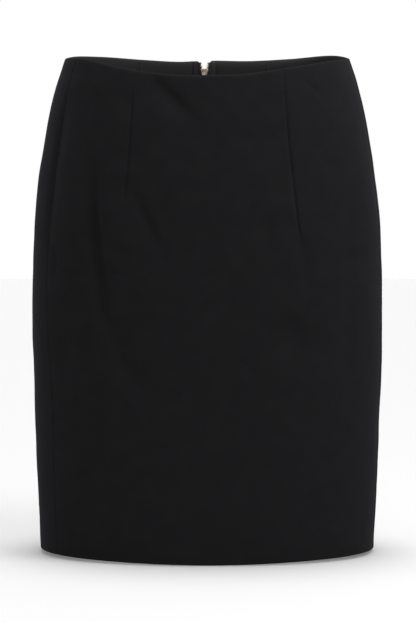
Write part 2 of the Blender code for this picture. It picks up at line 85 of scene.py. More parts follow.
TAPE_TAIL = 12 * MM
SLIDER_BELOW_EDGE = 7.6 * MM
SLIDER_LENGTH = 10.5 * MM
CHAIN_DEPTH = CLOTH + TAPE_GAP + TAPE / 2

SECTIONS = table(
    "height half_width front_depth back_depth",
    (-545, 183.2, 112.0, 109.5),
    (-480, 186.2, 111.8, 113.0),
    (-415, 188.8, 111.6, 116.0),
    (-350, 191.0, 111.2, 119.3),
    (-300, 191.9, 110.8, 121.5),
    (-247, 191.8, 109.9, 122.5),
    (-206, 190.6, 108.7, 122.2),
    (-165, 188.2, 107.0, 120.0),
    (-132, 184.7, 104.6, 116.6),
    (-99, 179.8, 101.6, 111.8),
    (-66, 174.2, 98.0, 106.0),
    (-33, 166.2, 93.5, 99.0),
    (0, 155.7, 88.0, 92.0),
    (12, 152.0, 86.0, 89.6),
)

WAIST_EDGE = table(
    "angle height",
    (-195, 5.9), (-182, 6.7), (-159, 5.4), (-138, 7.0), (-117, 8.5), (-104, 7.0), (-90, 1.9),
    (-68, -3.2), (-50, -14.0), (-26, -21.7), (0, -22.9), (30, -20.2), (52, -12.4), (70, -4.0),
    (90, 2.1), (107, 8.3), (130, 7.0), (150, 5.9), (178, 6.7), (201, 5.4),
)

ZIP_MOUTH = table("below_waist half_gap", (0, 6.5), (3, 5.7), (6, 4.9), (10, 4.4), (16, 4.3))

# eased: where a dart begins to show, from the least share of its depth; full: where all shows
Dart = namedtuple("Dart", "face across_top across_tip tip_height bow least eased full")
DARTS = {
    "front_right": Dart("front", -79.0, -88.6, -164, 2.0, 0.08, -38, -66),
    "front_left": Dart("front", 80.0, 98.8, -204, 1.3, 0.35, -30, -105),
    "back_right": Dart("back", -76.0, -79.0, -128, 1.5, 1.0, -30, -60),
    "back_left": Dart("back", 69.0, 72.0, -128, 1.5, 1.0, -30, -60),
}

# Soft troughs: half widths on their two sides (towards -arc and +arc where they run down),
# depth (minus for a ridge), and the points (across, height) that they run through. The first
# starts a little lower than in the CAD.
FOLDS = table(
    "face before after depth points",
    ("front", 9, 6.5, 8, ((-122, -119), (-120.5, -138), (-119, -171), (-116, -204),
                          (-111.5, -238), (-107, -275))),
    ("front", 10, 9, 2.2, ((-108, -262), (-100, -302), (-87, -330), (-66, -356))),
    ("front", 13, 12, -1.8, ((-145, -76), (-142, -120), (-142, -180), (-139, -240))),
    ("front", 8, 5.5, 2.9, ((-62, -18), (-52, -31), (-42, -41), (-32, -51), (-22, -61),
                            (-10, -74))),
    ("front", 9, 6, 2, ((-84, -136), (-69, -164), (-59, -188), (-46, -214))),
    ("front", 8, 8, 1.3, ((97, -190), (103, -220), (106, -250))),
    ("front", 15, 15, 3, ((72, -294), (90, -305), (110, -308))),
    ("front", 10, 10, 1.5, ((-155, -272), (-152, -310), (-149, -350))),
    ("front", 12, 12, 1, ((149, -120), (152, -250), (150, -400))),
    ("back", 11, 11, 2.2, ((150, -262), (112, -276), (70, -292), (30, -300))),
    ("back", 11, 11, 2, ((-154, -248), (-116, -266), (-78, -286), (-34, -297))),
    ("back", 9, 9, 1.5, ((-14, -204), (-40, -222), (-72, -232))),
    ("back", 9, 9, 1.4, ((12, -200), (34, -224), (60, -240))),
    ("back", 12, 12, 1.4, ((-140, -110), (-148, -200), (-150, -330), (-146, -420))),
    ("back", 12, 12, 1.3, ((138, -90), (146, -190), (149, -300), (147, -380))),
)

# ---- sizes of the looks

# Creases too small for the solids
CREASES = table(
    "face before after depth points",
    ("front", 3.5, 3.5, 0.7, ((96, -24), (113, -36), (125, -49))),
    ("front", 4, 4, 0.5, ((-134, -28), (-128, -60), (-131, -96))),
    ("front", 2.5, 2.5, 0.45, ((-152, -231), (-110, -233), (-70, -231), (-58, -230))),
    ("front", 3.5, 3.5, 1.6, ((-163, -208), (-161, -221), (-163, -232))),
    ("front", 6, 6, 0.8, ((62, -163), (65, -190), (60, -214))),
    ("front", 6, 6, 0.4, ((60, -120), (44, -165), (36, -215))),
    ("front", 7, 7, 0.5, ((20, -300), (48, -340), (60, -400))),
    ("front", 7, 7, 0.4, ((-20, -380), (-36, -430), (-40, -480))),
    ("front", 5, 5, 0.4, ((118, -90), (132, -130), (140, -180))),
    ("front", 9, 9, 0.9, ((-70, -24), (-60, -37), (-50, -47), (-40, -57), (-30, -67),
                          (-18, -80))),
    ("front", 11, 10, 1.5, ((84, -284), (94, -291), (104, -293))),
    ("front", 6.5, 5, 1.3, ((-113.5, -224), (-110, -250), (-106, -280), (-100, -300))),
    ("back", 5, 5, 0.55, ((-12, -60), (-34, -74), (-60, -80))),
    ("back", 5, 5, 0.50, ((8, -96), (30, -108), (54, -110))),
    ("back", 6, 6, 0.50, ((60, -330), (90, -352), (124, -360))),
    ("back", 6, 6, 0.45, ((-48, -336), (-86, -356), (-120, -362))),
    ("back", 7, 7, 0.45, ((10, -400), (14, -450), (8, -500))),
)
SHALLOWER = FOLDS[3]._replace(depth=-0.6)  # the long slanting fold is not as deep as in the CAD

# Slow unevenness of the cloth
WAVES = table(
    "length turn phase height",
    (148, 0.35, 0.4, 0.34),
    (97, 1.25, 2.1, 0.26),
    (71, -0.70, 4.0, 0.17),
    (53, 2.20, 1.3, 0.12),
    (37, 0.95, 5.2, 0.07),
    (24, -1.90, 3.3, 0.035),
)

# Small reliefs: how deep or high they are, and how wide to each side
Dent = namedtuple("Dent", "size width")
SEAM_DIP = Dent(0.65, 1.5)
DART_DIP = Dent(1.4, 1.7)
TIP_DIMPLE = Dent(0.55, 7)
TIP_SWELL = Dent(0.45, 16)
STITCH_GROOVE = Dent(0.14, 0.9)
BLIND_PRICK = Dent(0.10, 1.4)
INTAKE_SINK = Dent(0.80, 1.7)

# The shells' grid
GRID_STEP = 2.7 * MM  # between the columns and the rows of a shell
CLOSE = np.array([0.12, 0.3, 0.55, 0.9, 1.4, 2.1, 3.2, 4.8]) * MM  # steps beside an edge or line
SPACING_HEIGHTS = np.array([-200, -350]) * MM  # where the distances between columns are set
PANEL_LENGTH = 520 * MM  # sets the distance between rows
CLOSED = 0.01 * MM  # from a shell's end to its seam line, where it is sewn

# The cloth and its edges
HOLLOW_FRONT_WIDTH = 10.0 * MM  # the hollow's wider side, towards the front
FOLD_END = 0.08  # a fold's depth runs as a half sine, short of this share at each end
CALM_EDGE = 30 * MM  # the slow unevenness fades this near the waist edge and the hem
CALM_BACK = 15 * MM  # and is gone this near the centre back
LAPPED_DIP = 0.15  # share of a seam's dip on the front side of the right seam
TIP_SWELL_BELOW = 24 * MM  # swell of the cloth, from a dart's tip
PUCKER = 0.10 * MM  # ripple beside the sewing, its width, and its wave lengths
PUCKER_WIDTH = 7 * MM
SIDE_PUCKER = 9.5 * MM
BACK_PUCKER = 8.5 * MM
ZIP_PUCKER = 10.5 * MM
DART_PUCKER = 8 * MM
ZIP_SEWING = 7 * MM  # from the centre back to the sewing of the tapes
EDGE_ROUND = 0.45  # radius of a pressed edge, as a share of its thickness
EDGE_SOFTNESS = 0.75 * MM  # the lit face thins by this towards the waist edge
EDGE_SOFT_LENGTH = 3.5 * MM
FRONT_LEAN = 0.5 * MM  # the waist edge leans in at the front and out at the back
FRONT_LEAN_LENGTH = 6 * MM
BACK_LEAN = 3.5 * MM
BACK_LEAN_LENGTH = 12 * MM
TAPE_HOLD = 0.35  # share of the lean beside the zip, where the tape holds it
CORNER_RADIUS = 3.2 * MM  # of the waist edge at the opening, and how far down it acts
CORNER_REACH = 10 * MM
EDGE_CORNER = 1.6 * MM  # the rounded edges of the waist and the opening meet in this
SHARED_DENT = 0.6  # a dent deeper than this share of the cloth shows inside too
TURN_STEP = 0.07 * MM  # the turned cloth prints on the outside

# Sewing, and what is turned inside
STITCH_LINE = 2.2 * MM  # topstitching, from the edge of the opening
STITCH_PITCH = 3.0 * MM
STITCH_START = 2.4 * MM  # from the waist edge
STITCH_END = 8 * MM  # the tapes' stitches stop this far above the zip's end
SEEN_STITCH = (1.15, 0.10)  # half length and rise of a topstitch, in millimetres
BAR_TACK = np.array([-1.6, 0.0, 1.6]) * MM  # stitches across the opening's lower end
BAR_BELOW = 1.2 * MM
BLIND_STITCH = (1.7, 0.0)
BLIND_SLANT = 0.35
BLIND_PITCH = 8.5 * MM  # of the hem's blind stitches
PRICK_BELOW = 4 * MM  # their pricks, from the hem turn's edge
ALLOWANCE = 12 * MM  # cloth turned inside at a seam
BACK_ALLOWANCE = 15 * MM
ALLOWANCE_THICKNESS = 0.85 * MM
ALLOWANCE_WAVE = 0.35 * MM  # of its raw edge
INSIDE_GAP = 0.06 * MM  # between a panel and what lies on its inner face
TURN_GAP = 0.6 * MM  # between a turn's end and the allowances and intakes
DART_INTAKE = 10 * MM
INTAKE_THICKNESS = 1.6 * MM
THREAD = 0.17 * MM  # radius of the sewing thread
OVERLOCK_PITCH = 2.9 * MM
OVERLOCK_STEPS = 6  # points in a pitch
OVERLOCK_WIDTH = 4.2 * MM
SIDE_OVERLOCK = (-34 * MM, -502 * MM)  # heights that the overlocking runs between
BACK_OVERLOCK = (-182 * MM, -502 * MM)
ZIP_OVERLOCK = (-20 * MM, -179 * MM)
SIDE_ROWS = 170  # rows of points down an allowance, a dart's intake and a tape
BACK_ROWS = 120
ZIP_ROWS = 60
DART_ROWS = 60
TAPE_ROWS = 130

# The zip
TEETH_PITCH = 2.2 * MM  # of one side
TEETH_START = 2.1 * MM  # from the top stops to the first tooth
TOP_STOP = 2.3 * MM  # middle of the top stops, under the waist edge
BOTTOM_STOP = 181.2 * MM
CHAIN_END = 179.3 * MM
TAPE_TOP = 0.8 * MM  # under the waist edge, and how much lower a tape's inner corner is
TAPE_TOP_CUT = 0.9 * MM
TAPE_SINK = 0.75 * MM  # the tapes' tails sink behind the seam allowances
TAPE_SINK_START = 178 * MM
BEAD = 1.2 * MM  # from the chain's middle line to the bead of a closed tape
BACK_RADIUS = 92 * MM  # of the waist at the centre back
HINGE_DOWN = 6.8 * MM  # pull tab's axis, from the top of the slider
HINGE_OUT = 3.2 * MM
NOSE_LENGTH = 3.6  # the plates close in at the top of the slider, in millimetres
NOSE_SHARE = 0.15

# Stage and camera
FLOOR_DROP = 0.6 * MM  # the floor is this far below the hem
CAMERA_PLACE = (0.0008, -2.2, -0.185)  # far off, as the long lens asks for
CAMERA_TILT = np.radians(2.3746)
FOCAL_PIXELS = 2000
PHOTO_HEIGHT = 624
SENSOR = 36.0
ROOM_LIGHT = 0.86  # light of the room on the cloth, with 1 as white
FLOOR_WHITE = 0.64  # whiteness that the floor shows
FLOOR_BOUNCE = 0.40  # and that it throws light back with

# ---- the form


def smooth(share):
    """Smoothstep of a share, clipped to 0..1."""
    share = np.clip(share, 0, 1)
    return share * share * (3 - 2 * share)


def ease(value, start, end):
    """Rises smoothly from 0 at the start to 1 at the end."""
    return smooth((value - start) / (end - start))


def within(value, limit, blur):
    """1 where a value is under its limit and 0 above it, with a blurred step between."""
    return smooth((limit - value) / blur + 0.5)


def bell(distance, width):
    """1 at no distance, and falling off over the width."""
    return np.exp(-(distance / width) ** 2)


def dent(kind, distance):
    """Size of a small relief at a distance from its middle."""
    return kind.size * MM * bell(distance, kind.width * MM)


def unit(vectors):
    """Vectors brought to length 1."""
    return vectors / np.linalg.norm(vectors, axis=-1, keepdims=True)


def read_table(rows, column, at):
    """The named column at the given values of the first column, on a smooth curve."""
    keys = np.array([row[0] for row in rows], dtype=float)
    values = np.array([getattr(row, column) for row in rows], dtype=float)
    slopes = np.gradient(values, keys)
    at = np.clip(at, keys[0], keys[-1])
    low = np.clip(np.searchsorted(keys, at) - 1, 0, len(keys) - 2)
    span = keys[low + 1] - keys[low]
    share = (at - keys[low]) / span
    rise = smooth(share)
    return (values[low] * (1 - rise) + values[low + 1] * rise
            + span * share * (1 - share) * (slopes[low] * (1 - share) - slopes[low + 1] * share))


def section_size(column, height):
    """A size of the level section, in metres, at a height in metres."""
    return read_table(SECTIONS, column, height / MM) * MM


def form_point(height, angle):
    """Points of the form, as an array whose last axis is X, Y and Z."""
    height, angle = np.broadcast_arrays(height, angle)
    wide = section_size("half_width", height)
    deep = np.where(np.cos(angle) > 0, section_size("front_depth", height),
                    section_size("back_depth", height))
    radius = (np.abs(np.sin(angle) / wide) ** ROUNDNESS
              + np.abs(np.cos(angle) / deep) ** ROUNDNESS) ** (-1 / ROUNDNESS)
    return np.stack([radius * np.sin(angle), -radius * np.cos(angle), height], axis=-1)


def form_normal(height, angle):
    """Unit normals of the form, pointing out."""
    around = form_point(height, angle + 1e-3) - form_point(height, angle - 1e-3)
    upward = form_point(height + 1e-3, angle) - form_point(height - 1e-3, angle)
    return unit(np.cross(around, upward))


def offset_points(heights, angles, offsets):
    """Points of the form moved out along its normals."""
    return form_point(heights, angles) + form_normal(heights, angles) * offsets[..., None]


def lengths_along(points):
    """Length of a line from its first point to each of its points."""
    steps = np.linalg.norm(np.diff(points, axis=0), axis=-1)
    return np.concatenate([[0.0], np.cumsum(steps)])


ANGLES = np.radians(np.arange(-200, 200.5, 0.5))
HIP_LENGTHS = lengths_along(form_point(HIP_HEIGHT, ANGLES))
HIP_ARCS = HIP_LENGTHS - np.interp(TWIST, ANGLES, HIP_LENGTHS)
HIP_HALF_WIDTH = float(section_size("half_width", np.array(HIP_HEIGHT)))


def arc_of(height, angle):
    """Arc of a point of the form: the level sections are taken as alike in shape."""
    return np.interp(angle, ANGLES, HIP_ARCS) * section_size("half_width", height) / HIP_HALF_WIDTH


def angle_of(height, arc):
    """Angle of the point at an arc."""
    return np.interp(arc * HIP_HALF_WIDTH / section_size("half_width", height), HIP_ARCS, ANGLES)


def angle_across(face, height, across):
    """Angle of the point of the front or back that lies at X = across."""
    wide = section_size("half_width", height)
    deep = section_size(face + "_depth", height)
    ahead = deep * (1 - np.minimum(np.abs(across) / wide, 0.999) ** ROUNDNESS) ** (1 / ROUNDNESS)
    return np.arctan2(across, ahead if face == "front" else -ahead)


def waist_edge(angle):
    """Height of the waist edge."""
    return read_table(WAIST_EDGE, "height", np.degrees(angle)) * MM


def hem_edge(angle):
    """Height of the hem."""
    return HEM_HEIGHT - HEM_DROP * np.maximum(np.cos(angle), 0) ** 2


BACK_ANGLE = TWIST + np.pi
BACK_EDGE = float(waist_edge(BACK_ANGLE))


def under_waist_turn(angles):
    """Height where the waist turn ends."""
    return waist_edge(angles) - WAIST_TURN - TURN_GAP


def above_hem_turn(angles):
    """Height where the hem turn ends."""
    return hem_edge(angles) + HEM_TURN + TURN_GAP


def side_seam(side):
    """Line of a side seam: side is 1 for the wearer's left, -1 for the right."""
    def line(height):
        if side > 0:
            return arc_of(height, TWIST + LEFT_SEAM)
        swing = RIGHT_SEAM_SWING * smooth((SWING_TOP - height) / SWING_LENGTH)
        return arc_of(height, TWIST - RIGHT_SEAM + swing)
    return line


def back_seam(side):
    """Line of the centre back, reached around the wearer's left or right."""
    return lambda height: arc_of(height, TWIST + side * np.pi)


def from_back_seam(heights, arcs):
    """Arc from the centre back line, on either side of it."""
    return np.minimum(np.abs(arcs - back_seam(1)(heights)), np.abs(arcs - back_seam(-1)(heights)))


def dart_line(name):
    """Line of a dart; below its tip the line goes straight on, with nothing on it."""
    dart = DARTS[name]

    def line(height):
        share = np.clip((DART_TOP - height) / (DART_TOP - dart.tip_height * MM), 0, 1)
        across = dart.across_top + (dart.across_tip - dart.across_top) * share ** dart.bow
        return arc_of(height, angle_across(dart.face, height, across * MM))
    return line


def dart_strength(name, height):
    """How much of a dart there is at a height: 1 well above its tip, 0 at the tip."""
    return smooth((height - DARTS[name].tip_height * MM) / DART_FADE)


def dart_crispness(name, height):
    """How sharply a dart shows: the front darts are pressed nearly flat at their tops."""
    dart = DARTS[name]
    return dart.least + (1 - dart.least) * ease(height, dart.eased * MM, dart.full * MM)


def zip_half_gap(height):
    """Half the distance between the back panels at the centre back."""
    below = BACK_EDGE - height
    mouth = read_table(ZIP_MOUTH, "half_gap", below / MM) * MM
    closing = np.clip((ZIP_LENGTH - below) / ZIP_CLOSE, 0, 1)
    return SEAM_GAP / 2 + (mouth - SEAM_GAP / 2) * closing


# ---- relief of the cloth


def trough(height, arc, fold):
    """How far one fold moves the cloth out (or in, when negative)."""
    across, level = np.array(fold.points, dtype=float).T * MM
    path = np.stack([arc_of(level, angle_across(fold.face, level, across)), level], axis=-1)
    shares = lengths_along(path) / lengths_along(path)[-1]
    here = np.stack(np.broadcast_arrays(arc, height), axis=-1)
    nearest = np.full(here.shape[:-1], 1e9)
    along = np.zeros(here.shape[:-1])
    beside = np.zeros(here.shape[:-1])
    for start, end, low, high in zip(path[:-1], path[1:], shares[:-1], shares[1:]):
        run = end - start
        away = here - start
        share = np.clip(away @ run / (run @ run), 0, 1)
        distance = np.linalg.norm(away - share[..., None] * run, axis=-1)
        closer = distance < nearest
        nearest = np.where(closer, distance, nearest)
        along = np.where(closer, low + (high - low) * share, along)
        beside = np.where(closer, run[0] * away[..., 1] - run[1] * away[..., 0], beside)
    width = np.where(beside > 0, fold.after, fold.before) * MM
    run_share = FOLD_END + (1 - 2 * FOLD_END) * along
    return -fold.depth * MM * bell(nearest, width) * np.sin(np.pi * run_share)


def seam_hollow(height, arc):
    """How far the cloth is drawn in along the upper right side seam."""
    beside = arc - side_seam(-1)(height)
    width = np.where(beside > 0, HOLLOW_FRONT_WIDTH, HOLLOW_WIDTH)
    return HOLLOW_DEPTH * np.exp(-(beside / width) ** 2
                                 - ((height - HOLLOW_MIDDLE) / HOLLOW_LENGTH) ** 4)


def drift(height, arc):
    """The slow unevenness of pressed cloth."""
    total = np.zeros(np.shape(arc))
    for wave in WAVES:
        cosine, sine = np.cos(wave.turn), np.sin(wave.turn)
        along = (cosine * arc + sine * height) / (wave.length * MM)
        across = (cosine * height - sine * arc) / (wave.length * MM)
        total += wave.height * MM * (np.sin(2 * np.pi * along + wave.phase)
                                     * np.cos(1.3 * np.pi * across + 2 * wave.phase))
    return total


def pucker(height, distance, length, phase):
    """Ripple along a line of sewing, fading with the distance from it."""
    uneven = 0.6 + 0.4 * np.sin(height / (23 * MM) + phase)
    wave = np.sin(2 * np.pi * height / length + phase + 1.2 * np.sin(height / (31 * MM)))
    return PUCKER * uneven * wave * bell(distance, PUCKER_WIDTH)


def round_off(distance, radius):
    """How far a surface has dropped at a distance from an edge rounded to a radius."""
    reach = np.clip(distance / radius, 0, 1)
    return radius * (1 - np.sqrt(np.maximum(1 - (1 - reach) ** 2, 0)))


def curl(distance, length):
    """A bend that is steepest at an edge and gone at a length from it: 1 at the edge."""
    return np.clip(1 - distance / length, 0, 1) ** 2


def waist_lean(angles, below_waist, from_back):
    """How far the waist edge leans in at the front, and out at the back."""
    facing = np.cos(angles - TWIST)
    front = np.maximum(facing, 0) * curl(below_waist, FRONT_LEAN_LENGTH)
    back = smooth(-1.6 * facing) * curl(below_waist, BACK_LEAN_LENGTH)
    free = TAPE_HOLD + (1 - TAPE_HOLD) * ease(from_back, 5 * MM, 18 * MM)
    uneven = 0.8 + 0.3 * np.sin(angles - TWIST)
    return BACK_LEAN * back * free * uneven - FRONT_LEAN * front


def hang(heights, angles, arcs):
    """Relief of the cloth as it hangs: folds, creases, slow unevenness and the waist edge."""
    relief = sum(trough(heights, arcs, fold) for fold in (*FOLDS, *CREASES, SHALLOWER))
    relief -= seam_hollow(heights, arcs)
    below_waist = waist_edge(angles) - heights
    above_hem = heights - hem_edge(angles)
    from_back = from_back_seam(heights, arcs)
    calm = smooth(below_waist / CALM_EDGE) * smooth(above_hem / CALM_EDGE + 0.25)
    relief += drift(heights, arcs) * calm * ease(from_back, CALM_BACK, CALM_BACK + 25 * MM)
    return relief + waist_lean(angles, below_waist, from_back)


def sewn_relief(heights, arcs, darts):
    """Relief of the sewing on the outer face: seams, darts, their tips and the pucker."""
    relief = np.zeros_like(arcs)
    sewn = ease(BACK_EDGE - heights, ZIP_LENGTH - 2 * MM, ZIP_LENGTH + 2 * MM)
    for side in (1, -1):
        beyond = (arcs - side_seam(side)(heights)) * side
        share = np.where((side < 0) & (beyond < 0), LAPPED_DIP, 1.0)
        relief -= share * dent(SEAM_DIP, beyond)
        relief += pucker(heights, beyond, SIDE_PUCKER, side)
        from_back = np.abs(arcs - back_seam(side)(heights))
        relief -= sewn * dent(SEAM_DIP, from_back)
        relief += sewn * pucker(heights, from_back, BACK_PUCKER, 2.5)
        relief += (1 - sewn) * pucker(heights, from_back - ZIP_SEWING, ZIP_PUCKER, 1.5 + side) * 0.8
    for number, name in enumerate(darts):
        strength = dart_strength(name, heights)
        from_dart = arcs - dart_line(name)(heights)
        relief -= strength * dart_crispness(name, heights) * dent(DART_DIP, from_dart)
        relief += strength * pucker(heights, from_dart, DART_PUCKER, 1.7 * number) * 1.2
        tip = DARTS[name].tip_height * MM
        beside = arcs - dart_line(name)(np.array(tip))
        relief -= dent(TIP_DIMPLE, np.hypot(beside, (heights - tip) * 0.6))
        relief += dent(TIP_SWELL, np.hypot(beside, heights - tip + TIP_SWELL_BELOW))
    return relief


def pressed_relief(below_waist, above_hem, arcs):
    """Faint steps that the turned cloth prints on the outside, and the blind hem's pricks."""
    step = TURN_STEP * (within(below_waist, WAIST_TURN, 2.5 * MM)
                        + within(above_hem, HEM_TURN, 2.5 * MM))
    prick = np.sin(np.pi * arcs / BLIND_PITCH) ** 8
    return step - prick * dent(BLIND_PRICK, above_hem - HEM_TURN + PRICK_BELOW)


# ---- meshes


def mesh_from(name, points, faces, flat=None):
    """A smooth mesh; flat gives each point's place on the cut, in metres, as UV."""
    mesh = bpy.data.meshes.new(name)
    mesh.from_pydata(np.asarray(points).tolist(), [], faces)
    if flat is not None:
        corners = np.zeros(len(mesh.loops), dtype=np.int64)
        mesh.loops.foreach_get("vertex_index", corners)
        layer = mesh.uv_layers.new(name="cut")
        layer.data.foreach_set("uv", np.asarray(flat, dtype=np.float32)[corners].ravel())
    mesh.polygons.foreach_set("use_smooth", np.ones(len(mesh.polygons), dtype=bool))
    mesh.update()
    return mesh


def put_in_scene(name, data):
    """A new object."""
    thing = bpy.data.objects.new(name, data)
    bpy.context.scene.collection.objects.link(thing)
    return thing


def make_object(name, mesh, material, body="skirt", slot="cloth"):
    """A finished piece, riding on a body."""
    mesh.materials.append(material)
    piece = put_in_scene(name, mesh)
    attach(piece, body)
    return piece


def joined(name, parts, material, **kinds):
    """One piece from several shapes."""
    points, faces, start = [], [], 0
    for part_points, part_faces in parts:
        points.append(part_points)
        faces += [[corner + start for corner in face] for face in part_faces]
        start += len(part_points)
    return make_object(name, mesh_from(name, np.concatenate(points), faces), material, **kinds)


def wall_mesh(name, outer, inner, flat, inner_slot=0):
    """One closed mesh between two grids of points, rows running down and columns to +arc.

    inner_slot is the material slot of the inner face."""
    rows, columns = outer.shape[:2]
    number = np.arange(rows * columns).reshape(rows, columns)
    back = number + rows * columns
    sides = (
        (number[:-1, :-1], number[1:, :-1], number[1:, 1:], number[:-1, 1:]),
        (back[:-1, 1:], back[1:, 1:], back[1:, :-1], back[:-1, :-1]),
        (number[0, :-1], number[0, 1:], back[0, 1:], back[0, :-1]),
        (number[-1, 1:], number[-1, :-1], back[-1, :-1], back[-1, 1:]),
        (number[1:, 0], number[:-1, 0], back[:-1, 0], back[1:, 0]),
        (number[:-1, -1], number[1:, -1], back[1:, -1], back[:-1, -1]),
    )
    faces = np.concatenate([np.stack(side, axis=-1).reshape(-1, 4) for side in sides])
    points = np.concatenate([outer.reshape(-1, 3), inner.reshape(-1, 3)])
    cut = np.concatenate([flat.reshape(-1, 2)] * 2)
    mesh = mesh_from(name, points, faces.tolist(), cut)
    slots = np.zeros(len(mesh.polygons), dtype=np.int32)
    face_count = (rows - 1) * (columns - 1)
    slots[face_count:2 * face_count] = inner_slot
    mesh.polygons.foreach_set("material_index", slots)
    return mesh


def ring_faces(rings, around, closed=False):
    """Faces between rings of points, and over both ends where the rings don't close up."""
    number = np.arange(rings * around).reshape(rings, around)
    low = number if closed else number[:-1]
    high = np.roll(number, -1, axis=0)[:len(low)]
    sides = np.stack([low, np.roll(low, -1, axis=1), np.roll(high, -1, axis=1), high], axis=-1)
    ends = [] if closed else [number[0, ::-1].tolist(), number[-1].tolist()]
    return sides.reshape(-1, 4).tolist() + ends


def out_of_line(path):
    """Directions beside a closed line in the XY plane, pointing to its right."""
    run = np.roll(path, -1, axis=0) - np.roll(path, 1, axis=0)
    return unit(np.stack([run[:, 1], -run[:, 0]], axis=-1))


def loft(outline, levels):
    """A closed shape on an outline in the XY plane: levels are (inset, height) pairs."""
    outline = np.asarray(outline, dtype=float)
    normal = out_of_line(outline)
    points = [np.column_stack([outline - normal * inset, np.full(len(outline), height)])
              for inset, height in levels]
    return np.concatenate(points), ring_faces(len(levels), len(outline))


def hoop(path, section):
    """A closed loop in the XY plane: the section is (beside, out) points round its line."""
    flat = path[:, None] + out_of_line(path)[:, None] * section[None, :, :1]
    level = np.broadcast_to(section[None, :, 1:], flat.shape[:2] + (1,))
    points = np.concatenate([flat, level], axis=-1)
    return points.reshape(-1, 3), ring_faces(len(path), len(section), True)


def tube(points, outs, radius, sides):
    """A thin round thread along points; outs are directions across it."""
    run = unit(np.gradient(points, axis=0))
    beside = unit(np.cross(run, outs))
    above = np.cross(run, beside)
    turns = 2 * np.pi * np.arange(sides)[None, :, None] / sides
    rings = points[:, None] + radius * (np.cos(turns) * beside[:, None]
                                        + np.sin(turns) * above[:, None])
    return rings.reshape(-1, 3), ring_faces(len(points), sides)


def soften(outline, rounds=2):
    """Cut the corners of a closed outline."""
    outline = np.asarray(outline, dtype=float)
    for _ in range(rounds):
        after = np.roll(outline, -1, axis=0)
        outline = np.stack([outline * 0.75 + after * 0.25, outline * 0.25 + after * 0.75],
                           axis=1).reshape(-1, 2)
    return outline


def box(low, high, half_height, rounds):
    """Outline of an upright box between two places across, with its corners cut."""
    return soften([(low, -half_height), (high, -half_height), (high, half_height),
                   (low, half_height)], rounds)


def both_faces(upper):
    """Levels of a shape that is alike on both faces, from its upper ones."""
    return [(inset, -level) for inset, level in reversed(upper)] + list(upper)


def places_on(heights, arcs, depths):
    """Places under the cloth's outer face: origins and axes across, down and out, as arrays."""
    angles = angle_of(heights, arcs)
    origins = offset_points(heights, angles, hang(heights, angles, arcs) - depths)
    out = form_normal(heights, angles)
    fall = np.array([0.0, 0.0, -1.0])
    down = unit(fall - out * (out @ fall)[..., None])
    return origins, np.cross(down, out), down, out


def centre_places(below, across, depth):
    """Places beside the centre back line, at distances below the waist edge."""
    heights = BACK_EDGE - below
    return places_on(heights, back_seam(1)(heights) + across, depth)


def stamp(shape, places, turns, mirror=None):
    """Copies in metres of a shape in millimetres, each turned about its outward axis."""
    points, faces = shape[0] * MM, shape[1]
    origins, across, down, out = places
    cosine, sine = np.cos(turns)[:, None], np.sin(turns)[:, None]
    first = across * cosine + down * sine
    second = down * cosine - across * sine
    flip = np.ones(len(origins)) if mirror is None else mirror
    x = points[None, :, 0] * flip[:, None]
    placed = (origins[:, None] + first[:, None] * x[..., None]
              + second[:, None] * points[None, :, 1, None] + out[:, None] * points[None, :, 2, None])
    copies = []
    for number in range(len(origins)):
        turned = [face[::-1] for face in faces] if flip[number] < 0 else faces
        copies += [[corner + number * len(points) for corner in face] for face in turned]
    return placed.reshape(-1, 3), copies


# ---- the panels

Cut = namedtuple("Cut", "width length area")


def shifted(line, step):
    """A line moved along by a step."""
    return lambda height: line(height) + step


def between(first, second, share):
    """The line that lies at a share of the way from one line to another."""
    return lambda height: first(height) * (1 - share) + second(height) * share


def opening_edge(side):
    """Where a back shell ends: at the opening's edge, and below it at the closed seam."""
    def line(height):
        gap = zip_half_gap(height) - SEAM_GAP / 2
        return back_seam(side)(height) - side * (gap + CLOSED + SEAM_GAP * smooth(gap / (3 * MM)))
    return line


def panel_columns(lines):
    """Lines of a shell's columns: even between its main lines, and close together beside them."""
    margin = CLOSE[-1] + GRID_STEP * 0.6
    columns = []
    for low, high in zip(lines[:-1], lines[1:]):
        length = float((high(SPACING_HEIGHTS) - low(SPACING_HEIGHTS)).max())
        steps = max(int((length - 2 * CLOSE[-1]) / GRID_STEP), 2)
        columns += [shifted(low, step) for step in (0.0, *CLOSE)]
        columns += [between(shifted(low, margin), shifted(high, -margin), share)
                    for share in np.arange(steps + 1) / steps]
        columns += [shifted(high, -step) for step in CLOSE[::-1]]
    return columns + [lines[-1]]


def panel_rows():
    """Rows of a shell, even over its length and close together at its edges and turns.

    Each is a share of the way from the waist edge to the hem, and a step up from there."""
    turn = np.array([-2.0, -0.5, 0.5, 2.0]) * MM
    top_margin = WAIST_TURN + turn[-1] + GRID_STEP
    low_margin = HEM_TURN + turn[-1] + GRID_STEP
    steps = int((PANEL_LENGTH - top_margin - low_margin) / GRID_STEP)
    top = (0.0, *CLOSE, *np.arange(7 * MM, 22 * MM, GRID_STEP), *(WAIST_TURN + turn))
    bottom = (*(HEM_TURN - turn), *np.arange(26 * MM, 6 * MM, -GRID_STEP), *CLOSE[::-1], 0.0)
    return ([(0.0, -step) for step in top]
            + [(share, -top_margin * (1 - share) + low_margin * share)
               for share in np.arange(steps + 1) / steps]
            + [(1.0, step) for step in bottom])


def lay_out(arcs_at, columns, shares, offsets, top, bottom):
    """Heights, angles and arcs of a grid: its rows lie at shares of the way from top to bottom,
    moved up by offsets, and arcs_at gives the arcs at such heights."""
    heights = np.full((len(shares), columns), HIP_HEIGHT)
    for _ in range(6):
        arcs = arcs_at(heights)
        angles = angle_of(heights, arcs)
        heights = top(angles) * (1 - shares) + bottom(angles) * shares + offsets
    return heights, angles, arcs


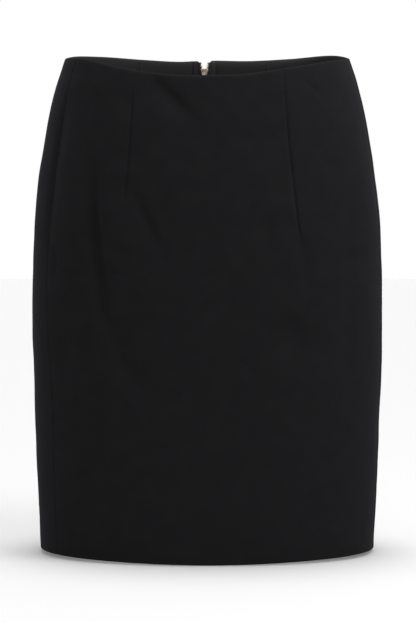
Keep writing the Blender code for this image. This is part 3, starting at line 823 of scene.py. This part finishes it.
def shell(name, node, lines, darts, materials, insides):
    """A fine shell that stands for one CAD panel; the argument insides, its own pieces on the
    inside, is not used.
    """
    columns = panel_columns(lines)
    shares, offsets = np.array(panel_rows()).T[..., None]
    heights, angles, arcs = lay_out(
        lambda heights: np.stack([line(heights[:, place]) for place, line in enumerate(columns)],
                                 axis=-1),
        len(columns), shares, offsets, waist_edge, hem_edge)
    below_waist = waist_edge(angles) - heights
    above_hem = heights - hem_edge(angles)
    from_back = from_back_seam(heights, arcs)
    into_cloth = np.maximum(from_back - zip_half_gap(heights), 0)
    heights = heights - round_off(into_cloth, CORNER_RADIUS) * curl(below_waist, CORNER_REACH)
    relief = hang(heights, angles, arcs)

    waist_turn = within(below_waist, WAIST_TURN, 1.0 * MM) * within(-from_back, -ZIP_BAND, 1.0 * MM)
    hem_turn = within(above_hem, HEM_TURN, 1.0 * MM)
    thick = CLOTH + (TURNED - CLOTH) * np.maximum(waist_turn, hem_turn)

    opening = BACK_EDGE - heights < ZIP_LENGTH - 1 * MM
    from_zip = np.where(opening, np.maximum(from_back - zip_half_gap(heights), 0), 1.0)
    nearest = np.minimum(np.minimum(below_waist, above_hem), from_zip)
    both = np.hypot(np.maximum(EDGE_CORNER - below_waist, 0), np.maximum(EDGE_CORNER - from_zip, 0))
    nearest = np.where(both > 0, np.minimum(nearest, np.maximum(EDGE_CORNER - both, 0)), nearest)
    softness = EDGE_SOFTNESS * curl(below_waist, EDGE_SOFT_LENGTH)
    loss = round_off(nearest, (thick - softness) * EDGE_ROUND)
    groove = dent(STITCH_GROOVE, from_zip - STITCH_LINE)

    facing = smooth(0.5 + np.cos(angles - TWIST))
    sewn = sewn_relief(heights, arcs, darts)
    outer = relief + sewn - loss - softness * facing
    outer += pressed_relief(below_waist, above_hem, arcs) - groove
    inner = relief - thick + loss + softness * (1 - facing)
    inner += np.minimum(sewn + SHARED_DENT * CLOTH, 0)
    mesh = wall_mesh(name, offset_points(heights, angles, outer),
                     offset_points(heights, angles, inner), np.stack([arcs, heights], axis=-1), 1)
    # The inner face takes slot 1: the inner side's material, painted paler to stand in for the light
    # inside
    mesh.materials.append(materials[0])
    piece = make_object(name, mesh, materials[1])
    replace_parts(piece, node)


def build_panels(materials):
    """The three cut panels, with the cloth that each turns inside."""
    # inner is the inner side's material, painted paler to stand in for light inside the skirt; the
    # allowances and intakes take it too
    inner = materials[1]
    darts = ("front_right", "front_left")
    shell("cloth_front", "front_panel",
          [shifted(side_seam(-1), CLOSED), *map(dart_line, darts), shifted(side_seam(1), -CLOSED)],
          darts, materials,
          [allowance("front_right", -1, 1, inner), allowance("front_left", 1, -1, inner),
           intake("front_right", 1, inner), intake("front_left", -1, inner)])
    for name, side in (("back_left", 1), ("back_right", -1)):
        lines = [shifted(side_seam(side), side * CLOSED), dart_line(name), opening_edge(side)]
        shell("cloth_" + name, name.replace("back", "back_panel"), lines[::side], (name,),
              materials,
              [allowance(name, side, side, inner), *back_allowances(name, side, inner),
               intake(name, side, inner)])


# ---- inside the panels

# Across an allowance: a share of its width and a step, from its seam, and how much deeper its
# two faces lie there than the panel's inner face and than its own full thickness
ALLOWANCE_ROWS = table(
    "share step near far",
    (0.0, 0.02, 0.0, -0.60),
    (0.0, 0.3, 0.0, -0.35),
    (0.0, 0.9, 0.0, 0.0),
    (0.3, 0.0, 0.0, 0.04),
    (0.55, 0.0, 0.0, 0.0),
    (0.8, 0.0, 0.0, 0.03),
    (1.0, -0.7, 0.0, 0.0),
    (1.0, -0.2, 0.1, -0.12),
    (1.0, 0.0, 0.3, -0.35),
)


def strip_piece(name, base, side, distances, near, far, top, bottom, count, material,
                slot="cloth"):
    """A closed strip beside a line, of count rows from top to bottom.

    distances are its columns' steps from the line; near and far are the depths of its faces
    under the cloth's outer face. All three are functions of the height."""
    columns = distances(np.zeros((1, 1))).shape[1]
    heights, angles, arcs = lay_out(lambda heights: base(heights) + side * distances(heights),
                                    columns, np.linspace(0, 1, count)[:, None], 0.0, top, bottom)
    relief = hang(heights, angles, arcs)
    outer = offset_points(heights, angles, relief - near(heights))
    inner = offset_points(heights, angles, relief - far(heights))
    flat = np.stack([arcs, heights], axis=-1)
    if side < 0:
        outer, inner, flat = outer[:, ::-1], inner[:, ::-1], flat[:, ::-1]
    return make_object(name, wall_mesh(name, outer, inner, flat), material, slot=slot)


def seam_strip(name, base, side, width, top, bottom, count, material, from_seam=0.0):
    """An allowance pressed open, on the inner face of its own panel."""
    share, step, near, far = np.array(ALLOWANCE_ROWS).T
    floor = CLOTH + INSIDE_GAP
    rows = np.stack([share * width + step * MM, floor + near * MM,
                     floor + ALLOWANCE_THICKNESS + far * MM])
    if from_seam:
        start = [[from_seam], [floor], [floor + ALLOWANCE_THICKNESS]]
        rows = np.hstack([start, rows[:, rows[0] > from_seam]])
    distance, near, far = rows
    wave_size = ALLOWANCE_WAVE * (distance / width) ** 2

    def distances(heights):
        wave = np.sin(heights / (17 * MM) + 3 * side) * 0.5 + np.sin(heights / (41 * MM))
        return distance + wave_size * wave

    return strip_piece(name, base, side, distances, lambda heights: near, lambda heights: far,
                       top, bottom, count, material)


def allowance(panel, side, way, material):
    """Cloth turned inside at a side seam, from the waist turn to the hem turn."""
    return seam_strip(panel + "_allowance", side_seam(side), way, ALLOWANCE, under_waist_turn,
                      above_hem_turn, SIDE_ROWS, material)


def back_allowances(panel, side, material):
    """Cloth turned inside below the zip, and the opening's folded edge beyond the tape."""
    zip_end = BACK_EDGE - ZIP_LENGTH
    return [seam_strip(panel + "_centre_allowance", back_seam(side), -side, BACK_ALLOWANCE,
                       lambda angles: zip_end - SEAM_GAP, above_hem_turn, BACK_ROWS, material),
            seam_strip(panel + "_zip_allowance", back_seam(side), -side, ZIP_BAND + TURN_GAP,
                       under_waist_turn, lambda angles: zip_end + SEAM_GAP, ZIP_ROWS, material,
                       TAPE_OUTER + 0.2 * MM)]


def intake(dart, side, material):
    """The folded cloth of a dart, pressed to the centre; it narrows to nothing at its tip."""
    tip = DARTS[dart].tip_height * MM
    share = np.array([0.0, 0.06, 0.25, 0.5, 0.75, 0.92, 0.98, 1.0])
    profile = np.array([0.35, 0.8, 0.95, 1.0, 1.0, 0.9, 0.7, 0.45])
    floor = CLOTH + INSIDE_GAP

    def left(heights):
        return np.clip((heights - tip) / (-WAIST_TURN - tip), 0.03, 1)

    def distances(heights):
        return share * DART_INTAKE * left(heights)

    def near(heights):
        sunk = dent(INTAKE_SINK, distances(heights)) * dart_strength(dart, heights)
        return floor + sunk + 0.25 * MM * (share == 1.0)

    def far(heights):
        pressed = 0.55 + 0.45 * smooth((-WAIST_TURN - 2 * MM - heights) / (12 * MM))
        thick = INTAKE_THICKNESS * pressed * (0.5 + 0.5 * smooth(left(heights) * 5))
        return np.maximum(floor + thick * profile, near(heights) + 0.25 * MM)

    return strip_piece("dart_intake_" + dart, dart_line(dart), side, distances, near, far,
                       under_waist_turn, lambda angles: tip, DART_ROWS, material)


# ---- threads


def thread_on(heights, arcs, depths):
    """A thread laid along the cloth, at depths under its outer face."""
    origins, _, _, out = places_on(heights, arcs, depths)
    return tube(origins, out, THREAD, 4)


def overlock(edge_heights, edge_arcs, inward_height, inward_arc, depth):
    """Threads over a raw edge: a zigzag from the edge inward, and the needle's line."""
    lengths = lengths_along(np.stack([edge_heights, edge_arcs], axis=-1))
    along = np.arange(0, lengths[-1], OVERLOCK_PITCH / OVERLOCK_STEPS)
    heights = np.interp(along, lengths, edge_heights)
    arcs = np.interp(along, lengths, edge_arcs)
    swing = 0.5 - 0.5 * np.cos(2 * np.pi * along / OVERLOCK_PITCH)
    reach = swing * OVERLOCK_WIDTH - 0.15 * MM
    wrap = 0.35 * MM * bell(reach, 0.5 * MM)
    zigzag = thread_on(heights + inward_height * reach, arcs + inward_arc * reach,
                       depth + THREAD * 0.7 - wrap)
    needle_line = OVERLOCK_WIDTH * 0.92
    needle = thread_on(heights[::OVERLOCK_STEPS] + inward_height * needle_line,
                       arcs[::OVERLOCK_STEPS] + inward_arc * needle_line, depth + THREAD)
    return [zigzag, needle]


def build_threads(material):
    """Overlocked edges inside the skirt."""
    seams = []
    for side in (1, -1):
        for way in (1, -1):
            seams.append((side_seam(side), way, ALLOWANCE, SIDE_OVERLOCK))
        seams.append((back_seam(side), -side, BACK_ALLOWANCE, BACK_OVERLOCK))
        seams.append((back_seam(side), -side, ZIP_BAND + TURN_GAP, ZIP_OVERLOCK))
    parts = []
    for line, way, width, extent in seams:
        heights = np.arange(*extent, -2 * MM)
        parts += overlock(heights, line(heights) + way * width, 0.0, -way,
                          CLOTH + INSIDE_GAP + ALLOWANCE_THICKNESS)
    around = np.arange(-np.pi, np.pi, 0.02) + TWIST
    clear_of_zip = around[np.abs(around - TWIST) < np.pi - np.radians(9.0)]
    heights = under_waist_turn(clear_of_zip) + TURN_GAP
    parts += overlock(heights, arc_of(heights, clear_of_zip), 1.0, 0.0, TURNED)
    whole = np.append(around, around[0] + 2 * np.pi)
    heights = above_hem_turn(whole) - TURN_GAP
    parts += overlock(heights, arc_of(heights, whole), -1.0, 0.0, TURNED)
    joined("overlock_threads", parts, material)


def half_opening(below):
    """Half the width of the opening, at a distance below the waist edge."""
    return zip_half_gap(BACK_EDGE - below)


def lean_of(width, below):
    """Angle from upright of an edge whose distance from the centre back is a width."""
    return np.arctan((width(below + 0.5 * MM) - width(below - 0.5 * MM)) / (1.0 * MM))


def stitch(half_length, rise):
    """One stitch along Y, in millimetres, whose ends dive into the cloth."""
    along = np.array([-1.0, -0.72, 0.0, 0.72, 1.0]) * half_length
    level = np.array([-1.6, 0.2, 1.0, 0.2, -1.6]) * rise
    points = np.column_stack([np.zeros(5), along, level])
    return tube(points, np.tile([0.0, 0.0, 1.0], (5, 1)), THREAD / MM, 6)


def build_stitches(material):
    """Topstitching beside the opening, seen outside and on the tapes, and the hem inside."""
    seen = stitch(*SEEN_STITCH)
    below = np.arange(STITCH_START, ZIP_LENGTH, STITCH_PITCH)
    on_tape = below < ZIP_LENGTH - STITCH_END
    parts = []
    for side in (1, -1):
        across = -side * (half_opening(below) + STITCH_LINE)
        turns = -side * lean_of(half_opening, below)
        parts.append(stamp(seen, centre_places(below, across, -0.04 * MM), turns))
        places = centre_places(below[on_tape], across[on_tape], CHAIN_DEPTH + 0.30 * MM)
        parts.append(stamp(seen, places, turns[on_tape]))
    count = len(BAR_TACK)
    places = centre_places(np.full(count, ZIP_LENGTH + BAR_BELOW), BAR_TACK, 0.25 * MM)
    parts.append(stamp(seen, places, np.full(count, np.pi / 2)))

    arcs = np.arange(-0.48, 0.48, BLIND_PITCH)
    heights = np.full(len(arcs), -0.5)
    for _ in range(4):
        angles = angle_of(heights, arcs)
        heights = above_hem_turn(angles) - 0.4 * MM
    once = np.abs(angles - TWIST) < np.pi
    places = places_on(heights[once], arcs[once], TURNED + 0.05 * MM)
    parts.append(stamp(stitch(*BLIND_STITCH), places, np.full(once.sum(), BLIND_SLANT)))
    joined("topstitching", parts, material)


# ---- the zip

# How far each row of teeth stands from its closed place
SPREAD = table("below_waist apart", (0, 3.6), (3, 3.3), (5.5, 2.8), (7.6, 1.95), (10, 0.95),
               (13, 0.25), (15, 0.0), (18, 0.0))

# Half outlines, from the top of the slider and from the pull tab's axis
SLIDER_OUTLINE = table("down half_width", (0.0, 1.9), (0.35, 3.3), (1.3, 4.2), (3.0, 4.35),
                       (5.2, 4.05), (8.4, 3.3), (9.9, 3.0), (10.5, 2.2))
WEDGE_OUTLINE = table("down half_width", (0.5, 0.9), (1.4, 1.3), (4.2, 0.25))
TAB_OUTLINE = table("down half_width", (5.9, 2.3), (7.4, 1.9), (9.5, 2.0), (13.0, 2.9),
                    (22.0, 3.1), (24.2, 2.7), (25.4, 1.6), (25.8, 0.6))


def apart(below):
    """How far a row of teeth stands from its closed place."""
    return read_table(SPREAD, "apart", below / MM) * MM


def zip_tape(name, node, side, material):
    """A woven tape, with a round bead on its inner edge."""
    share = np.array([0.0, 0.02, 0.06, 0.10, 0.16, 0.3, 0.5, 0.7, 0.85, 0.97, 1.0])
    half = np.array([0.15, 0.42, 0.52, 0.48, 0.30, 0.27, 0.27, 0.27, 0.27, 0.24, 0.12]) * MM

    def distances(heights):
        inner = BEAD + apart(BACK_EDGE - heights)
        return inner + (TAPE_OUTER - inner) * share

    def sunk(heights):
        return CHAIN_DEPTH + TAPE_SINK * ease(BACK_EDGE - heights, TAPE_SINK_START, ZIP_LENGTH)

    def top(angles):
        from_centre = np.abs((angles - TWIST) % (2 * np.pi) - np.pi) * BACK_RADIUS
        return BACK_EDGE - TAPE_TOP - TAPE_TOP_CUT * (1 - ease(from_centre, 5 * MM, 8 * MM))

    tape = strip_piece(name, back_seam(side), -side, distances,
                       lambda heights: sunk(heights) - half,
                       lambda heights: sunk(heights) + half,
                       top, lambda angles: BACK_EDGE - ZIP_LENGTH - TAPE_TAIL, TAPE_ROWS,
                       material, slot="zip_tape")
    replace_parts(tape, node)


def build_teeth(node, material):
    """Brass teeth: apart above the slider, meshed below it; the stops at both ends."""
    upper_half = [(-0.55, 0.0), (-0.52, 0.34), (-0.34, 0.50), (0.10, 0.53), (0.45, 0.46),
                  (0.80, 0.46), (1.10, 0.62), (1.40, 0.76), (1.95, 0.78), (2.28, 0.60),
                  (2.42, 0.0)]
    outline = upper_half + [(x, -y) for x, y in upper_half[-2:0:-1]]
    tooth = loft(outline[::-1], both_faces(((0.0, 0.55), (0.03, 0.80), (0.14, 0.95), (0.34, 1.0))))
    rows = [np.arange(TOP_STOP + TEETH_START + start, CHAIN_END, TEETH_PITCH)
            for start in (0.0, TEETH_PITCH / 2)]
    below = np.concatenate(rows)
    sides = np.repeat([1, -1], [len(row) for row in rows])
    places = centre_places(below, -sides * apart(below), CHAIN_DEPTH)
    parts = [stamp(tooth, places, lean_of(apart, below) * -sides, sides)]

    clip = loft(box(0.15, 2.35, 1.35, 2), both_faces(((0.0, 0.8), (0.12, 1.05), (0.4, 1.15))))
    sides = np.array([1.0, -1.0])
    below = np.full(2, TOP_STOP)
    places = centre_places(below, -sides * apart(below), CHAIN_DEPTH)
    parts.append(stamp(clip, places, np.zeros(2), sides))

    block = loft(box(-2.2, 2.2, 1.6, 1), both_faces(((0.0, 0.75), (0.12, 1.0), (0.4, 1.1))))
    places = centre_places(np.array([BOTTOM_STOP]), np.zeros(1), CHAIN_DEPTH)
    parts.append(stamp(block, places, np.zeros(1)))
    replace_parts(joined("zip_teeth", parts, material, slot="zip_metal"), node)


def both_sides(rows):
    """A closed outline from its right half."""
    right = [(row.half_width, row.down) for row in rows]
    return soften(right + [(-across, down) for across, down in reversed(right)])


def slider_place():
    """The slider's frame, as the solids have it: one origin and its axes."""
    top = BACK_EDGE - SLIDER_BELOW_EDGE
    low = top - SLIDER_LENGTH
    out = form_normal(np.array((top + low) / 2), BACK_ANGLE)
    down = form_point(np.array(low), BACK_ANGLE) - form_point(np.array(top), BACK_ANGLE)
    down = unit(down - out * (down @ out))
    start = form_point(np.array(top), BACK_ANGLE) - out * CHAIN_DEPTH
    return start[None], np.cross(down, out)[None], down[None], out[None]


def flange(side):
    """Outline of the rim on one side of a slider plate."""
    rows = [row for row in SLIDER_OUTLINE if 1.0 < row.down < 10.2]
    outer = [(side * (row.half_width - 0.03), row.down) for row in rows]
    inner = [(side * (row.half_width - 0.60), row.down) for row in reversed(rows)]
    return soften((outer + inner)[::side], 1)


def build_slider(node, material):
    """Slider: two domed plates with rims, the wedge between them, and the bridge."""
    outline = both_sides(SLIDER_OUTLINE)
    plate = ((0.25, 1.28), (0.05, 1.32), (0.0, 1.44), (0.0, 1.74), (0.12, 1.97), (0.42, 2.10),
             (0.95, 2.16))
    rim = ((0.1, 0.45), (0.0, 0.55), (0.0, 1.5))
    shapes = [loft(outline, plate),
              loft(outline, both_faces(plate)[:len(plate)]),
              loft(both_sides(WEDGE_OUTLINE), both_faces(((0.0, 1.5),)))]
    for side in (1, -1):
        shapes.append(loft(flange(side), rim))
        shapes.append(loft(flange(side), both_faces(rim)[:len(rim)]))
    for points, _ in shapes:
        points[:, 2] *= 1 - NOSE_SHARE * np.maximum(1 - points[:, 1] / NOSE_LENGTH, 0) ** 2
    arch = [(1.5, 1.7), (1.5, 4.3), (2.5, 5.0), (8.0, 5.0), (9.0, 4.3), (9.0, 1.7),
            (8.1, 1.7), (8.05, 3.8), (7.6, 4.12), (2.9, 4.12), (2.45, 3.8), (2.4, 1.7)]
    points, faces = loft(soften(arch[::-1]), both_faces(((0.0, 0.86), (0.07, 1.04), (0.24, 1.12))))
    shapes.append((points[:, [2, 0, 1]], faces))
    parts = [stamp(shape, slider_place(), np.zeros(1)) for shape in shapes]
    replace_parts(joined("slider_body", parts, material, slot="zip_metal"), node)


def build_pull(node, material):
    """Pull tab: a loop round the bridge, and a waisted plate with a sunk field."""
    section = soften([(0.55, -0.6), (0.55, 0.6), (-0.55, 0.6), (-0.55, -0.6)], 2)
    path = soften([(1.95, 0.0), (1.95, 6.75), (-1.95, 6.75), (-1.95, 0.0)], 3)
    face = ((0.0, 0.34), (0.03, 0.48), (0.14, 0.57), (0.34, 0.57), (0.42, 0.46), (0.60, 0.36),
            (0.75, 0.32))
    shapes = [hoop(path, section), loft(both_sides(TAB_OUTLINE), both_faces(face))]
    origins, across, down, out = slider_place()
    place = (origins + down * HINGE_DOWN + out * HINGE_OUT, across, down, out)
    parts = [stamp(shape, place, np.zeros(1)) for shape in shapes]
    pull = joined("pull_tab_plate", parts, material, body="pull_tab", slot="zip_metal")
    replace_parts(pull, node)


# ---- materials


class Nodes:
    """A short way to write a material's nodes."""

    def __init__(self, name, **settings):
        self.material = bpy.data.materials.new(name)
        self.material.use_nodes = True
        self.tree = self.material.node_tree
        self.shader = self.tree.nodes["Principled BSDF"]
        for key, value in settings.items():
            self.shader.inputs[key.replace("_", " ")].default_value = value

    def link(self, source, target):
        self.tree.links.new(source, target)

    def add(self, kind, vector=None, **settings):
        """A node; the settings are its sockets' values or its own properties."""
        node = self.tree.nodes.new("ShaderNode" + kind)
        for key, value in settings.items():
            socket = key.replace("_", " ")
            if socket in node.inputs:
                node.inputs[socket].default_value = value
            else:
                setattr(node, key, value)
        if vector is not None:
            self.link(vector, node.inputs["Vector"])
        return node

    def cut(self):
        """Place on the cloth's cut, in millimetres."""
        place = self.add("UVMap", uv_map="cut").outputs["UV"]
        return self.add("Mapping", place, Scale=(1000, 1000, 1000)).outputs["Vector"]

    def noise(self, vector, scale, detail, roughness=0.5):
        return self.add("TexNoise", vector, Scale=scale, Detail=detail,
                        Roughness=roughness).outputs["Fac"]

    def bands(self, vector, direction, scale, **settings):
        return self.add("TexWave", vector, wave_type="BANDS", bands_direction=direction,
                        Scale=scale, **settings).outputs["Fac"]

    def math(self, operation, first, second):
        node = self.add("Math", operation=operation)
        for socket, value in zip(node.inputs, (first, second)):
            if isinstance(value, (int, float)):
                socket.default_value = value
            else:
                self.link(value, socket)
        return node.outputs[0]

    def colour(self, value, *stops):
        """Base colour between two stops, each a value and its colour."""
        ramp = self.add("ValToRGB")
        for element, (place, colour) in zip(ramp.color_ramp.elements, stops):
            element.position = place
            element.color = (*colour, 1)
        self.link(value, ramp.inputs["Fac"])
        self.link(ramp.outputs["Color"], self.shader.inputs["Base Color"])

    def bump(self, height, strength, distance):
        bump = self.add("Bump", Strength=strength, Distance=distance)
        self.link(height, bump.inputs["Height"])
        self.link(bump.outputs["Normal"], self.shader.inputs["Normal"])


def black_cloth():
    """Matt black crepe: a fine twill ground, uneven grain, and a soft nap."""
    n = Nodes("black_crepe", Roughness=0.90, Sheen_Weight=0.02, Sheen_Roughness=0.5,
              Sheen_Tint=(0.80, 0.86, 1.0, 1), Specular_IOR_Level=0.03)
    cut = n.cut()
    twill = n.bands(cut, "DIAGONAL", 0.42, Distortion=1.1, Detail=2.0, Detail_Scale=1.4)
    grain = n.noise(cut, 1.6, 3.0, 0.6)
    cloud = n.noise(cut, 0.055, 4.0, 0.55)
    n.colour(n.math("ADD", n.math("MULTIPLY", grain, 0.55), n.math("MULTIPLY", cloud, 0.45)),
             (0.30, (0.0094, 0.0094, 0.0104)), (0.72, (0.0141, 0.0140, 0.0151)))
    n.bump(n.math("ADD", n.math("MULTIPLY", twill, 0.5), grain), 0.35, 0.12 * MM)
    return n.material


def painted_paler_inner_side():
    """The inner side of the crepe: duller, with an uneven grain, and painted paler than the outer
    face to stand in for light reaching the inside of the waist.
    """
    n = Nodes("crepe_inner_side_painted_light", Roughness=0.95, Sheen_Weight=0.05, Sheen_Roughness=0.6,
              Specular_IOR_Level=0.05)
    cut = n.cut()
    twill = n.bands(cut, "DIAGONAL", 0.42, Distortion=2.0, Detail=2.0)
    grain = n.noise(cut, 1.3, 3.0, 0.6)
    # Painted light: a paler copy of the black cloth, about twice as light, standing in for the light
    # that reaches the inner face
    n.colour(grain, (0.30, (0.0235, 0.0225, 0.0225)), (0.72, (0.0335, 0.0320, 0.0320)))
    n.bump(n.math("ADD", n.math("MULTIPLY", twill, 0.4), grain), 0.35, 0.14 * MM)
    return n.material


def tape_weave():
    """Black polyester tape: upright ribs crossed by a fine weft."""
    n = Nodes("zip_tape_weave", Roughness=0.62, Specular_IOR_Level=0.25)
    cut = n.cut()
    ribs = n.bands(cut, "X", 0.50)
    weft = n.bands(cut, "Y", 0.75)
    fuzz = n.noise(cut, 2.2, 2.0)
    woven = n.math("ADD", n.math("MULTIPLY", ribs, 0.6), n.math("MULTIPLY", weft, 0.4))
    n.colour(n.math("MULTIPLY", woven, n.math("ADD", fuzz, 0.4)),
             (0.0, (0.0110, 0.0110, 0.0115)), (1.0, (0.0300, 0.0295, 0.0300)))
    n.bump(woven, 0.6, 0.12 * MM)
    return n.material


def sewing_thread():
    """Black polyester thread with a faint lustre along its twist."""
    n = Nodes("black_thread", Roughness=0.55, Specular_IOR_Level=0.3)
    twist = n.noise(n.add("TexCoord").outputs["Object"], 2600.0, 1.0)
    n.colour(twist, (0.35, (0.011, 0.011, 0.012)), (0.70, (0.026, 0.026, 0.028)))
    n.bump(twist, 0.5, 0.04 * MM)
    return n.material


def brass(name):
    """Pale polished brass with fine brushing and a little tarnish."""
    n = Nodes(name, Metallic=1.0)
    place = n.add("TexCoord").outputs["Object"]
    stretch = n.add("Mapping", place, Scale=(9000, 2500, 700)).outputs["Vector"]
    brushed = n.noise(stretch, 1.0, 2.0)
    tarnish = n.noise(place, 420.0, 4.0, 0.6)
    n.colour(tarnish, (0.32, (0.44, 0.36, 0.27)), (0.62, (0.66, 0.57, 0.45)))
    n.link(n.math("ADD", n.math("MULTIPLY", brushed, 0.22), 0.27), n.shader.inputs["Roughness"])
    n.bump(brushed, 0.15, 0.02 * MM)
    return n.material


# ---- stage, light and camera


def build_stage():
    """Plain pale floor."""
    mesh = mesh_from("floor", [(-6, -4, 0), (6, -4, 0), (6, 12, 0), (-6, 12, 0)], [(0, 1, 2, 3)])
    floor = put_in_scene("floor", mesh)
    floor.location.z = HEM_HEIGHT - HEM_DROP - FLOOR_DROP
    n = Nodes("pale_floor", Roughness=0.95, Specular_IOR_Level=0.1)
    ray = n.add("LightPath")
    shade = n.add("MapRange", To_Min=FLOOR_WHITE, To_Max=FLOOR_BOUNCE)
    n.link(ray.outputs["Is Diffuse Ray"], shade.inputs["Value"])
    n.link(shade.outputs["Result"], n.shader.inputs["Base Color"])
    mesh.materials.append(n.material)


def place_light(name, lamp, direction):
    """A light that shines from a direction."""
    light = put_in_scene(name, lamp)
    light.rotation_euler = Vector(direction).to_track_quat("Z", "Y").to_euler()
    return light


def add_sun(name, direction, spread, brightness):
    """A far soft light that gives a white surface facing it this brightness, with 1 as white."""
    lamp = bpy.data.lights.new(name, "SUN")
    lamp.angle = np.radians(spread)
    lamp.energy = np.pi * brightness
    place_light(name, lamp, direction)


def add_soft_box(name, place, aim, width, watts):
    """A round soft light close to the skirt; the camera doesn't see it."""
    lamp = bpy.data.lights.new(name, "AREA")
    lamp.shape = "DISK"
    lamp.size = width
    lamp.energy = watts
    light = place_light(name, lamp, Vector(place) - Vector(aim))
    light.location = place
    light.visible_camera = False


def build_light():
    """A white room, a soft light overhead, a broad key from the right and a soft box near it."""
    world = bpy.data.worlds.new("white_room")
    bpy.context.scene.world = world
    world.use_nodes = True
    tree = world.node_tree
    shown = tree.nodes["Background"]
    shown.inputs["Color"].default_value = (1, 1, 1, 1)
    shown.inputs["Strength"].default_value = 1.0
    lit = tree.nodes.new("ShaderNodeBackground")
    lit.inputs["Strength"].default_value = ROOM_LIGHT
    ray = tree.nodes.new("ShaderNodeLightPath")
    mix = tree.nodes.new("ShaderNodeMixShader")
    tree.links.new(ray.outputs["Is Diffuse Ray"], mix.inputs["Fac"])
    tree.links.new(shown.outputs["Background"], mix.inputs[1])
    tree.links.new(lit.outputs["Background"], mix.inputs[2])
    tree.links.new(mix.outputs["Shader"], tree.nodes["World Output"].inputs["Surface"])
    add_sun("overhead", (0.0, np.tan(np.radians(4.0)), 1.0), 26.0, 0.73)
    add_sun("key", (0.80, -0.46, 0.38), 34.0, 0.15)
    add_soft_box("soft_box", (0.60, -0.35, 0.60), (0.05, -0.10, -0.15), 0.40, 3.2)


def build_camera():
    """A long lens, level with the hips and tilted down a little."""
    lens = bpy.data.cameras.new("camera")
    lens.sensor_fit = "VERTICAL"
    lens.sensor_height = SENSOR
    lens.lens = FOCAL_PIXELS * SENSOR / PHOTO_HEIGHT
    camera = put_in_scene("camera", lens)
    camera.location = CAMERA_PLACE
    camera.rotation_euler = (np.pi / 2 - CAMERA_TILT, 0, 0)
    bpy.context.scene.camera = camera
    bpy.context.scene.view_settings.view_transform = "Standard"


# ---- assembly

build_camera()
build_stage()
build_light()
build_panels((black_cloth(), painted_paler_inner_side()))
tape = tape_weave()
zip_tape("woven_tape_left", "zip_tape_left", 1, tape)
zip_tape("woven_tape_right", "zip_tape_right", -1, tape)
build_teeth("zip_chain", brass("teeth_brass"))
build_slider("zip_slider", brass("slider_brass"))
build_pull("zip_pull", brass("pull_brass"))
thread = sewing_thread()
build_threads(thread)
build_stitches(thread)
